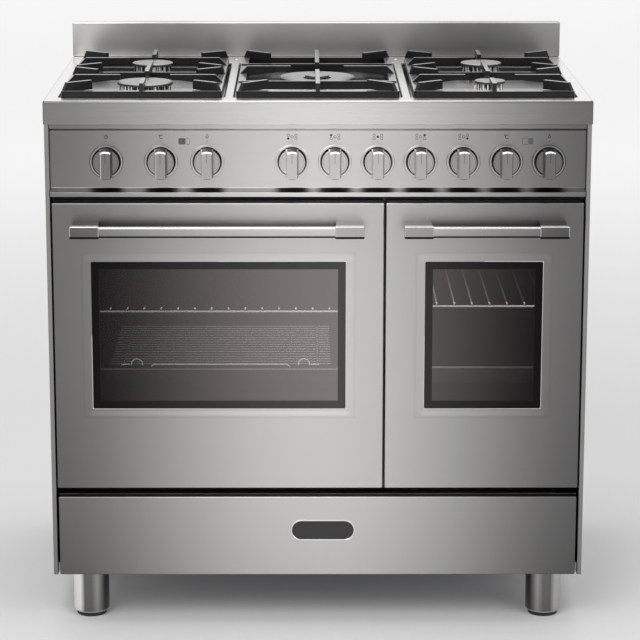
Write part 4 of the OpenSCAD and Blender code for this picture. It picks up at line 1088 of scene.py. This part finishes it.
class BuildCasing(CookerOperator, bpy.types.Operator):
    """Makes the side panels and feet, and finishes the rest of the casing"""

    bl_idname = "cooker.casing"
    bl_label = "Casing"

    def execute(self, context):
        for side, sign in (("left", -1), ("right", 1)):
            self.side_panel(f"side_panel_{side}", sign)
        self.feet()
        paint(zinc_sheet("zinc sheet"), "base_frame", "back_panel")
        paint(enamel("front plate enamel", hue("black")), "front_frame")
        paint(wool_finish("mineral wool", hue("wool")), "insulation")
        paint(satin("seal", hue("rubber"), 0.0, 0.7, 500.0, 0.0001), "door_seals")
        return {"FINISHED"}

    def side_panel(self, node, sign):
        """A side sheet, folded over the front edge and back inside it."""
        edge_width, return_depth = 0.0077, 0.038
        lo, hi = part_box(node)
        inner, outer = (hi.x, lo.x) if sign < 0 else (lo.x, hi.x)
        mouth = outer - sign * edge_width
        path = filleted([
            (sign * mouth, lo.y + return_depth), (sign * mouth, lo.y), (sign * outer, lo.y),
            (sign * outer, hi.y), (sign * inner, hi.y),
        ], sizes().fold)
        shape = folded_sheet(path, lambda u, v, w: (sign * u, v, w), lo.z, hi.z)
        steel = brushed(
            f"{node} steel", (0.1, 0.22, 0.3, 0.22), (0.86, 0.34, 0.42, 0.34), grain=BRUSHED_Y
        )
        add_piece(f"{node}_sheet", shape, steel, (node,))

    def feet(self):
        """Four turned sleeves with a round lower edge, on rubber pads."""
        lo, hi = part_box("feet")
        radius, pad_h, top, edge = 0.0305, 0.0062, 0.0872, 0.006
        sleeve = [(0.0254, 0.014), (0.0254, pad_h + 0.0008)]
        sleeve += arc(radius - edge, pad_h + edge, edge, -76, 0, 6)
        sleeve += [(radius, top - 0.0004), (radius - 0.0004, top)]
        pad = [(0.0, 0.0), (0.0243, 0.0), (0.025, 0.0007), (0.025, 0.019)]
        places = [
            (x, y, 0) for x in (lo.x + radius, hi.x - radius)
            for y in (lo.y + radius, hi.y - radius)
        ]
        steel = foot_finish("foot steel", hi.x - radius, radius)
        rubber = satin("foot rubber", hue("rubber"), 0.0, 0.75, 600.0, 0.0001)
        sleeves = joined(*(lathe(sleeve, 96, at) for at in places))
        pads = joined(*(lathe(pad, 64, at) for at in places))
        add_piece("foot_sleeves", sleeves, steel, ("feet",))
        add_piece("foot_pads", pads, rubber)


class BuildHob(CookerOperator, bpy.types.Operator):
    """Makes the pressed hob with its three wells, its screws and the upstand"""

    bl_idname = "cooker.hob"
    bl_label = "Hob"

    def execute(self, context):
        lo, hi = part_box("hob_top")
        s = sizes()
        top = hi.z

        rect, corner, turned_in, inner_corner = (*lo.xy, *hi.xy), s.hob_corner, 0.015, 0.002
        rings = [
            level_ring(rect, -inset, top - drop, corner) for inset, drop in quarter(s.hob_edge)
        ]
        rings += [
            level_ring(rect, -inset, lo.z + lift, corner) for lift, inset in quarter(s.hob_fold)
        ]
        rings.append(level_ring(rect, -turned_in, lo.z, inner_corner))
        shapes = [loft(rings, caps=(False, False))]
        mouths = []
        for well in self.wells():
            wall, mouth = self.well(*well, top)
            shapes.append(wall)
            mouths.append(mouth)
        shapes.append(flat_fill([rings[0], *mouths]))
        hob = raw_object("hob_pressing", joined(*shapes))
        thick = hob.modifiers.new("Sheet", "SOLIDIFY")
        thick.thickness = s.sheet
        thick.offset = -1.0
        dress(hob, hob_finish("hob steel", top), ("hob_top",), angle=40)
        upstand = soft_box(*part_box("backguard"), s.guard_edge, 4)
        add_piece("upstand", upstand, upstand_finish("upstand steel"), ("backguard",))
        head = [(0.0, 0.0012), (0.002, 0.001), (0.0034, 0.0), (0.0034, -0.0004)]
        heads = joined(*(lathe(head, 32, (x, 0.265, top)) for x in (-0.146, 0.146)))
        screw = plain_steel("screw steel", scaled(hue("steel"), 0.5))
        add_piece("hob_screws", heads, screw)
        return {"FINISHED"}

    def wells(self):
        """Each well as its middle, its width and its openings (x, y, radius)."""
        middle_y, apart, small, large, spark = -0.007, 0.1135, 0.0203, 0.0553, 0.003
        sparks = self.spark_places()
        rows = []
        for x, width, burners in (
            (-0.291, 0.272, ((-apart, small), (apart, small))),
            (0.0, 0.276, ((0.0, large),)),
            (0.291, 0.272, ((-apart, small), (apart, small))),
        ):
            openings = [(x, middle_y + step, radius) for step, radius in burners]
            openings += [(u, v, spark) for u, v in sparks if abs(u - x) < width / 2]
            rows.append((x, width, openings))
        return rows

    def spark_places(self):
        """Middles of the spark plugs, found by the height and width of their tops in the
        burner bodies' own mesh."""
        tip_z, near_enough, apart = 0.902, 3e-5, 0.006
        narrowest, widest, fewest = 0.0045, 0.0056, 7
        groups = []
        for vertex in NODES["burner_bodies"].data.vertices:
            if abs(vertex.co.z - tip_z) < near_enough:
                for group in groups:
                    if (group[0] - vertex.co.xy).length < apart:
                        group.append(vertex.co.xy)
                        break
                else:
                    groups.append([vertex.co.xy])
        places = []
        for group in groups:
            xs, ys = [p.x for p in group], [p.y for p in group]
            if narrowest < max(xs) - min(xs) < widest and len(group) >= fewest:
                places.append(((max(xs) + min(xs)) / 2, (max(ys) + min(ys)) / 2))
        return places

    def well(self, x, width, openings, top):
        """A well's wall and floor in one, and the outline of its mouth."""
        front, back, depth, corner = -0.239, 0.225, 0.010, 0.012
        rect, bend = (x - width / 2, front, x + width / 2, back), sizes().well_bend
        rings = [
            level_ring(rect, out, top - drop, corner + out, 7) for out, drop in quarter(bend)
        ]
        rings += [
            level_ring(rect, -inset, top - depth + lift, corner - inset, 7)
            for lift, inset in quarter(bend)
        ]
        holes = [
            [(u, v, top - depth) for u, v in arc(*opening, 0, 352.5, 47)]
            for opening in openings
        ]
        floor = flat_fill([rings[-1], *holes])
        return joined(loft(rings, caps=(False, False)), floor), rings[0]


class BuildBurners(CookerOperator, bpy.types.Operator):
    """Finishes the burner bodies and caps and the three cast pan supports"""

    bl_idname = "cooker.burners"
    bl_label = "Burners and pan supports"

    def execute(self, context):
        paint(crown_finish("burner crown", hue("crown")), "burner_bodies", edge=0.0003)
        paint(cap_finish("burner cap", hue("cap")), "burner_caps")
        supports = (f"pan_support_{place}" for place in ("left", "centre", "right"))
        paint(cast_iron("pan support iron", hue("iron")), *supports, edge=sizes().cast_edge)
        return {"FINISHED"}


def panel_face():
    """Depth of the control panel's face."""
    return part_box("hob_top")[0].y + PANEL_SET_BACK


def knob_places():
    """Middle of each knob's node along X."""
    places = {}
    for node in (*SWITCH_KNOBS, *GAS_KNOBS):
        lo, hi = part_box(node)
        places[node] = (lo.x + hi.x) / 2
    return places


class BuildPanel(CookerOperator, bpy.types.Operator):
    """Makes the folded control panel and its printed marks"""

    bl_idname = "cooker.panel"
    bl_label = "Control panel"

    def execute(self, context):
        lo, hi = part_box("control_panel")
        face, places = panel_face(), sorted(knob_places().values())
        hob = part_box("hob_top")[0].y
        strip, groove, lip = hob + 0.008, hob + 0.020, hob + 0.004
        top, strip_foot, face_top = 0.8606, 0.8528, 0.8494
        face_foot, lip_top, lip_foot = 0.7540, 0.7473, 0.7401
        overhang = 0.0008
        path = filleted([
            (strip, top), (strip, strip_foot), (groove, strip_foot), (groove, face_top),
            (face, face_top), (face, face_foot), (lip, lip_top), (lip, lip_foot),
            (hi.y, lip_foot),
        ], sizes().panel_fold, 3)
        shape = folded_sheet(
            path, lambda u, v, w: (w, u, v), lo.x - overhang, hi.x + overhang
        )
        panel = raw_object("panel_sheet", shape)
        hole = [(0.005, -0.004), (0.005, 0.01)]
        cut_out(panel, joined(*(
            lathe(hole, 32, (x, face, KNOB_AXIS_Z), TO_BACK) for x in knob_places().values()
        )))
        steel = panel_finish("panel steel", lip_top, face_foot, places)
        dress(panel, steel, ("control_panel",))
        self.marks(face)
        return {"FINISHED"}

    def marks(self, face):
        """Printed marks over the knobs, as thin ink on the panel's face."""
        rise, sunk = sizes().print_rise, 0.0002
        shapes, filled_cells = [], []

        def flat(points, group=shapes):
            front = [(u, face - rise, v) for u, v in points]
            group.append(loft([front, [(u, face + sunk, v) for u, v in points]]))

        def outline(outer, inner, count):
            for k in range(count):
                n = (k + 1) % len(outer)
                flat([outer[k], outer[n], inner[n], inner[k]])

        def ring(cx, cz, radius, width, start=0, end=360):
            steps = int((end - start) / 15)
            outer, inner = (
                arc(cx, cz, r, start, end, steps) for r in (radius, radius - width)
            )
            outline(outer, inner, steps)

        def stroke(x0, z0, x1, z1, width):
            a, b = Vector((x0, z0)), Vector((x1, z1))
            side = Vector((a.y - b.y, b.x - a.x)).normalized() * width / 2
            flat([a + side, b + side, b - side, a - side])

        def dot(cx, cz, radius):
            flat(arc(cx, cz, radius, 0, 345, 23))

        def cell(x0, x1, cz, filled):
            """A small round-cornered box, as a line or filled."""
            half, corner, line = 0.0053, 0.0016, 0.0005
            rect = (x0, cz - half, x1, cz + half)
            outer, inner = (round_rect(rect, corner - w, 3, -w) for w in (0, line))
            if filled:
                flat(outer, filled_cells)
            else:
                outline(outer, inner, len(outer))

        places = knob_places()
        sign_z, dot_z = 0.8385, 0.8312
        clock = places["timer_knob"]
        ring(clock, sign_z, 0.0033, 0.0008)
        stroke(clock, sign_z, clock, sign_z + 0.0022, 0.0007)
        stroke(clock, sign_z, clock + 0.0016, sign_z, 0.0007)
        for oven, half_width, divide, left_filled in (
            ("main", 0.0091, 0.0021, True), ("small", 0.0091, 0.0012, False),
        ):
            degrees, flame = places[f"{oven}_temp_knob"], places[f"{oven}_mode_knob"]
            ring(degrees - 0.0027, sign_z + 0.0025, 0.0012, 0.0006)
            ring(degrees + 0.0012, sign_z, 0.0034, 0.0009, 50, 310)
            ring(flame, sign_z, 0.0024, 0.0009)
            dot(flame, sign_z + 0.0038, 0.0008)
            x, gap = (degrees + flame) / 2, 0.0007
            cell(x - half_width, x + divide, dot_z, left_filled)
            cell(x + divide + gap, x + half_width, dot_z, not left_filled)
        out, up = 0.0063, 0.0027
        spots = ((-out, -up), (-out, up), (0.0, 0.0), (out, up), (out, -up))
        for k in range(5):
            x = places[f"gas_knob_{k + 1}"]
            for n, (dx, dz) in enumerate(spots):
                if n == k:
                    dot(x + dx, sign_z + dz, 0.0019)
                else:
                    ring(x + dx, sign_z + dz, 0.0023, 0.0006)
        for x in places.values():
            dot(x, dot_z, 0.0006)
        ink = printing_ink("panel ink", hue("ink"))
        thin = printing_ink("panel ink, thin", hue("thin_ink"))
        add_piece("panel_print", joined(*shapes), ink)
        add_piece("panel_print_cells", joined(*filled_cells), thin)


class BuildKnobs(CookerOperator, bpy.types.Operator):
    """Makes the ten knobs, their bezels and the dark discs behind them that stand for the shade
    in the recesses
    """

    bl_idname = "cooker.knobs"
    bl_label = "Knobs"
    grip_depth = 0.019
    disc_depth = 0.006

    def execute(self, context):
        s = sizes()
        places = knob_places()
        seats = [(x, panel_face(), KNOB_AXIS_Z) for x in places.values()]
        tall = 0.003
        bezel = [
            (s.bezel_out, 0.0), (s.bezel_out, tall - 0.0008),
            (s.bezel_out - 0.0003, tall - 0.0003), (s.bezel_out - 0.0008, tall),
            (s.bezel_in + 0.0004, tall), (s.bezel_in, tall - 0.0004), (s.bezel_in, 0.0),
        ]
        # A dark disc behind each knob: painted shade in the recess between disc and bezel.
        washer = [(0.0052, 0.0), (0.0052, 0.0006), (0.0238, 0.0006), (0.0238, 0.0)]
        bezels = joined(*(lathe(bezel, 96, at, TO_FRONT, True) for at in seats))
        recess_shades = joined(*(lathe(washer, 64, at, TO_FRONT, True) for at in seats))
        bright = bezel_finish("bezel metal", sorted(places.values()))
        dark = satin("washer", scaled(hue("rubber"), 0.2), 0.0, 0.9)
        add_piece("knob_bezel_rings", bezels, bright, ("knob_bezels",))
        add_piece("knob_washers", recess_shades, dark)
        pattern = self.pattern()
        finish = knob_finish("knob metal")
        for node, body in (SWITCH_KNOBS | GAS_KNOBS).items():
            lo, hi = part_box(node)
            piece = placed_object(f"{node}_body", pattern.data)
            piece.location = (places[node], lo.y, KNOB_AXIS_Z)
            dress(piece, finish, (node,), body, 30)
            if node in SWITCH_KNOBS:
                shaft_from = 0.028
                shaft = [(0.004, 0.0), (0.004, hi.y - lo.y - shaft_from)]
                at = (piece.location.x, lo.y + shaft_from, KNOB_AXIS_Z)
                shape = lathe(shaft, 32, at, TO_BACK)
                add_piece(f"{node}_shaft", shape, finish, (), body)
        bpy.data.objects.remove(pattern)
        return {"FINISHED"}

    def pattern(self):
        """Disc and grip in one, with the front at the origin and the back along +Y."""
        s = sizes()
        rim, radius, deep = s.disc_rim, 0.0216, self.grip_depth
        profile = [(radius - 0.0025, self.disc_depth), (radius, self.disc_depth), (radius, rim)]
        profile += arc(radius - rim, rim, rim, 0, -90, 3)
        profile += [(radius - 0.0022, 0.0), (radius - 0.0026, 0.0003), (0.004, 0.0003)]
        disc = lathe(profile, 96, (0, deep, 0), TO_BACK)
        edge, bevel, reach, head = 0.0008, 0.0026, 0.0252, 0.0208

        def section(y, width, up):
            """The grip's outline at a depth: flat sides between an upper and lower arc."""
            half, steps = width / 2, 12
            points = []
            for sign, bow in ((1, up), (-1, reach)):
                for k in range(steps + 1):
                    u = sign * half * (1 - 2 * k / steps)
                    points.append((u, y, sign * math.sqrt(bow ** 2 - u ** 2)))
            return points

        rings = [
            section(deep + 0.0004, s.grip_base, reach - 0.001),
            section(deep / 2, (s.grip_base + s.grip_front) / 2, head + 0.001),
            section(bevel, s.grip_front + 0.0005, head),
        ]
        for back, cut in quarter(edge, 4):
            rings.append(section(back, s.grip_front - 2 * cut, head - bevel + edge - cut))
        pattern = raw_object("knob_pattern", joined(disc, loft(rings)))
        half_groove, groove_end = 0.0005, 0.017
        cut_out(pattern, soft_box(
            (-half_groove, -0.002, GROOVE_TOP - s.groove), (half_groove, 0.0004, groove_end),
            0.0002, 1,
        ))
        return pattern


class BuildDoors(CookerOperator, bpy.types.Operator):
    """Makes the two doors' skins and panes, and finishes their liners and hinges"""

    bl_idname = "cooker.doors"
    bl_label = "Oven doors"

    def execute(self, context):
        for side in ("main", "small"):
            self.door(side)
        liner = enamel("liner enamel", hue("black"))
        paint(liner, "main_door_liner", "small_door_liner", edge=0.0006)
        paint(zinc_sheet("hinge zinc"), "main_door_hinges", "small_door_hinges")
        return {"FINISHED"}

    def door(self, side):
        """A door's skin in one: rounded edges, the window's pressed slope and its back."""
        s = sizes()
        lo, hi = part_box(f"{side}_door_skin")
        glass_lo, glass_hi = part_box(f"{side}_door_glass")
        window = (
            glass_lo.x + GLASS_OVERLAP, glass_lo.z + GLASS_OVERLAP,
            glass_hi.x - GLASS_OVERLAP, glass_hi.z - GLASS_OVERLAP,
        )
        door = (lo.x, lo.z, hi.x, hi.z)

        edge, sheet, front = s.door_edge, s.sheet, lo.y
        corner, wide_corner, slope_steps = 0.002, 0.0125, 8
        rings = [upright_ring(door, 0.0, hi.y, edge)]
        rings += [
            upright_ring(door, -inset, front + back, edge) for back, inset in quarter(edge)
        ]
        for k in range(slope_steps + 1):
            share = k / slope_steps
            fall = share * share * (3 - 2 * share)
            rings.append(upright_ring(
                window, s.slope * (1 - share), front + s.slope_depth * fall,
                wide_corner * (1 - share) + corner,
            ))
        deep = front + s.slope_depth + sheet
        behind, behind_corner = s.slope + 0.003, 0.012
        rings += [
            upright_ring(window, 0.0, deep, corner),
            upright_ring(window, behind, deep, behind_corner),
            upright_ring(window, behind, front + sheet, behind_corner),
            upright_ring(door, -sheet, front + sheet, edge - sheet / 2),
            upright_ring(door, -sheet, hi.y, edge - sheet / 2),
        ]
        skin = raw_object(f"{side}_door_front", loft(rings, closed=True))
        slots = []
        for x in (lo.x + 0.022, hi.x - 0.022):
            slots.append(soft_box(
                (x - 0.0035, lo.y + 0.010, lo.z - 0.002),
                (x + 0.0035, hi.y + 0.002, lo.z + 0.002), 0.0001, 1,
            ))
        cut_out(skin, joined(*slots))
        x0, z0, x1, z1 = window
        middle, half = ((x0 + x1) / 2, (z0 + z1) / 2), ((x1 - x0) / 2, (z1 - z0) / 2)
        grip_lo, grip_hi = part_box(f"{side}_door_handle")
        bar = (grip_lo.x, grip_hi.x, grip_hi.z)
        steel = door_finish(f"{side} door steel", middle, half, bar)
        dress(skin, steel, (f"{side}_door_skin",), f"{side}_door")
        pane = 0.004
        for name, y, finish, stands_for in (
            ("window", deep, window_finish(f"{side} window", middle, half), ("glass",)),
            ("inner_pane", glass_hi.y - pane, clear_pane(f"{side} inner pane"), ()),
        ):
            self.pane(f"{side}_{name}", window, y, pane, finish, side, stands_for)

    def pane(self, name, window, front, thickness, finish, side, stands_for):
        """A pane of glass, larger than the window all round, with its edges ground."""
        ground, corner = 0.0004, 0.006
        rings = [
            upright_ring(window, GLASS_OVERLAP - inset, front + deep, corner)
            for inset, deep in (
                (ground, 0.0), (0.0, ground), (0.0, thickness - ground), (ground, thickness),
            )
        ]
        nodes = tuple(f"{side}_door_{piece}" for piece in stands_for)
        add_piece(name, loft(rings), finish, nodes, f"{side}_door")


class BuildHandles(CookerOperator, bpy.types.Operator):
    """Makes the two door handles: a flat bar between two end blocks"""

    bl_idname = "cooker.handles"
    bl_label = "Door handles"

    def execute(self, context):
        foot, top = 0.681, 0.699
        # Painted sheen with painted highlights on upper edges and a painted dark line at the
        # foot.
        bar = brushed(
            "handle steel", (foot, 0.14, 0.6, 0.12), (top, 0.26, 0.86, 0.2), 0.6845,
            roughness=0.22,
        )
        block = brushed(
            "handle block steel", (foot, 0.11, 0.52, 0.08), (top, 0.15, 0.6, 0.12), 0.6836,
            roughness=0.2,
        )
        # The posts are painted dark as shade behind the blocks.
        post = brushed("handle post steel", (foot, 0.05, 0.3, 0.045), (0.7, 0.05, 0.3, 0.045))
        for side in ("main", "small"):
            body = f"{side}_door"
            lo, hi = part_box(f"{side}_door_handle")
            flat = round_rect((*lo.yz, *hi.yz), sizes().bar_edge, 6)
            shape = loft([[(x, u, v) for u, v in flat] for x in (lo.x, hi.x)])
            node = (f"{side}_door_handle",)
            add_piece(f"{side}_handle_bar", shape, bar, node, body)
            blocks, posts = self.ends(*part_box(f"{side}_handle_posts"))
            node = (f"{side}_handle_posts",)
            add_piece(f"{side}_handle_blocks", blocks, block, node, body)
            add_piece(f"{side}_handle_post_pair", posts, post, (), body)
        return {"FINISHED"}

    def ends(self, lo, hi):
        """The two end blocks, and the two posts that run back from them to the door."""
        wide, thick, inset, sunk = 0.0482, 0.015, 0.002, 0.003
        blocks, posts = [], []
        for x in (lo.x, hi.x - wide):
            blocks.append(soft_box(
                (x, lo.y, lo.z), (x + wide, lo.y + thick, hi.z), sizes().block_edge, 4
            ))
            posts.append(soft_box(
                (x + inset, lo.y + thick - sunk, lo.z + 0.0015),
                (x + wide - inset, hi.y, hi.z - 0.0006), 0.0012,
            ))
        return joined(*blocks), joined(*posts)


class BuildDrawer(CookerOperator, bpy.types.Operator):
    """Makes the drawer front with its blank badge plate, and finishes the box"""

    bl_idname = "cooker.drawer"
    bl_label = "Storage drawer"

    def execute(self, context):
        lo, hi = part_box("drawer_front")
        steel = brushed(
            "drawer steel", (0.087, 0.118, 0.606, 0.098), (0.225, 0.16, 0.634, 0.124)
        )
        face = soft_box(lo, hi, sizes().door_edge, 4)
        add_piece("drawer_face", face, steel, ("drawer_front",), "drawer")
        self.badge(lo.y)
        paint(zinc_sheet("drawer zinc"), "drawer_box", "drawer_rails")
        return {"FINISHED"}

    def badge(self, front):
        """A blank plate with a bright rim, low in the middle of the drawer."""
        foot, top, rise = 0.1482, 0.185, 0.0022

        def rings(*steps):
            return [
                upright_ring((-0.046, foot, 0.0636, top), -inset, y, (top - foot) / 2 - inset, 8)
                for inset, y in steps
            ]

        crest = front - rise
        rim = rings(
            (0.0, front + 0.0002), (0.0, crest + 0.0008), (0.0003, crest + 0.0002),
            (0.0008, crest), (0.0019, crest), (0.0024, crest + 0.0004), (0.0024, crest + 0.0010),
        )
        bright = plain_steel("badge rim", hue("badge_rim"), 0.2, TURNED, 0.04)
        shape = loft(rim, caps=(True, False))
        add_piece("badge_rim", shape, bright, (), "drawer")
        shape = loft(rings((0.0022, front - 0.0002), (0.0022, crest + 0.001)))
        dark = satin("badge face", hue("badge_face"), 0.2, 0.32, 700.0, 0.00001)
        add_piece("badge_face", shape, dark, (), "drawer")


class BuildOvens(CookerOperator, bpy.types.Operator):
    """Finishes the ovens and what is in them, and makes the tray grid's handles"""

    bl_idname = "cooker.ovens"
    bl_label = "Ovens"

    def execute(self, context):
        grey = clouded("oven enamel", hue("enamel"), 7.0, 2.0, 0.25, 0.34, 0.08)
        darkened_wire = scaled(hue("wire"), 0.25)
        paint(grey, "main_oven_cavity", "small_oven_cavity", "fan_cover")
        self.tray_handles()
        paint(wire_finish("oven wire", hue("wire")), "wire_shelves")
        # The side racks take the wire's colour at a quarter of its brightness.
        paint(satin("rack wire", darkened_wire, 0.8, 0.35), "side_racks")
        paint(tray_finish("tray enamel", hue("black")), "oven_trays")
        paint(zinc_sheet("fan zinc"), "oven_fan")
        paint(zinc_sheet("motor zinc", 0.7), "fan_motor")
        paint(heated_sheath("element sheath", hue("sheath")), "heating_elements")
        paint(lamp_cover("lamp glass"), "oven_lamps")
        return {"FINISHED"}

    def tray_handles(self):
        """The bent front wire and the two lifting loops of the main tray's grid."""
        y, z, radius = -0.1985, 0.4385, 0.0009
        wires = [[
            (MAIN_OVEN_X + u, y, z + drop)
            for u, drop in ((-0.118, -0.004), (-0.113, 0.0), (0.113, 0.0), (0.118, -0.004))
        ]]
        for side in (-1, 1):
            x = MAIN_OVEN_X + side * 0.142
            wires.append([(u, y, v) for u, v in arc(x, z, 0.0095, -10, 190, 14)])
            wires.append([(x + side * 0.012, y, z), (x + side * 0.026, y, z)])
        shape = joined(*(tube(wire, radius) for wire in wires))
        add_piece("tray_grid_handles", shape, handle_wire_finish("tray wire", hue("wire")))


class BuildServices(CookerOperator, bpy.types.Operator):
    """Finishes the taps, switches, spindles and the terminal box"""

    bl_idname = "cooker.services"
    bl_label = "Taps and services"

    def execute(self, context):
        brass = satin("tap brass", hue("brass"), 1.0, 0.34, 260.0, 0.00004)
        paint(brass, "gas_rail", *(f"gas_spindle_{k}" for k in range(1, 6)))
        paint(satin("switch plastic", hue("pale"), 0.0, 0.5), "oven_switches")
        paint(satin("terminal plastic", hue("rubber"), 0.0, 0.55), "terminal_box")
        return {"FINISHED"}


class CookerPanel(bpy.types.Panel):
    """Lists the cooker's operators in the 3D view's sidebar"""

    bl_idname = "VIEW3D_PT_cooker"
    bl_label = "Range cooker"
    bl_space_type = "VIEW_3D"
    bl_region_type = "UI"
    bl_category = "Cooker"

    def draw(self, context):
        for operator in OPERATORS:
            self.layout.operator(operator.bl_idname)


OPERATORS = (
    BuildStage, BuildCasing, BuildHob, BuildBurners, BuildPanel, BuildKnobs, BuildDoors,
    BuildHandles, BuildDrawer, BuildOvens, BuildServices,
)
CLASSES = (CookerSizes, CookerColours, *OPERATORS, CookerPanel)


def register():
    for cls in CLASSES:
        bpy.utils.register_class(cls)
    bpy.types.Scene.cooker_sizes = bpy.props.PointerProperty(type=CookerSizes)
    bpy.types.Scene.cooker_colours = bpy.props.PointerProperty(type=CookerColours)


def unregister():
    del bpy.types.Scene.cooker_colours
    del bpy.types.Scene.cooker_sizes
    for cls in reversed(CLASSES):
        bpy.utils.unregister_class(cls)


def main():
    register()
    for operator in OPERATORS:
        group, name = operator.bl_idname.split(".")
        getattr(getattr(bpy.ops, group), name)()
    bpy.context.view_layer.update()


if __name__ == "__main__":
    main()
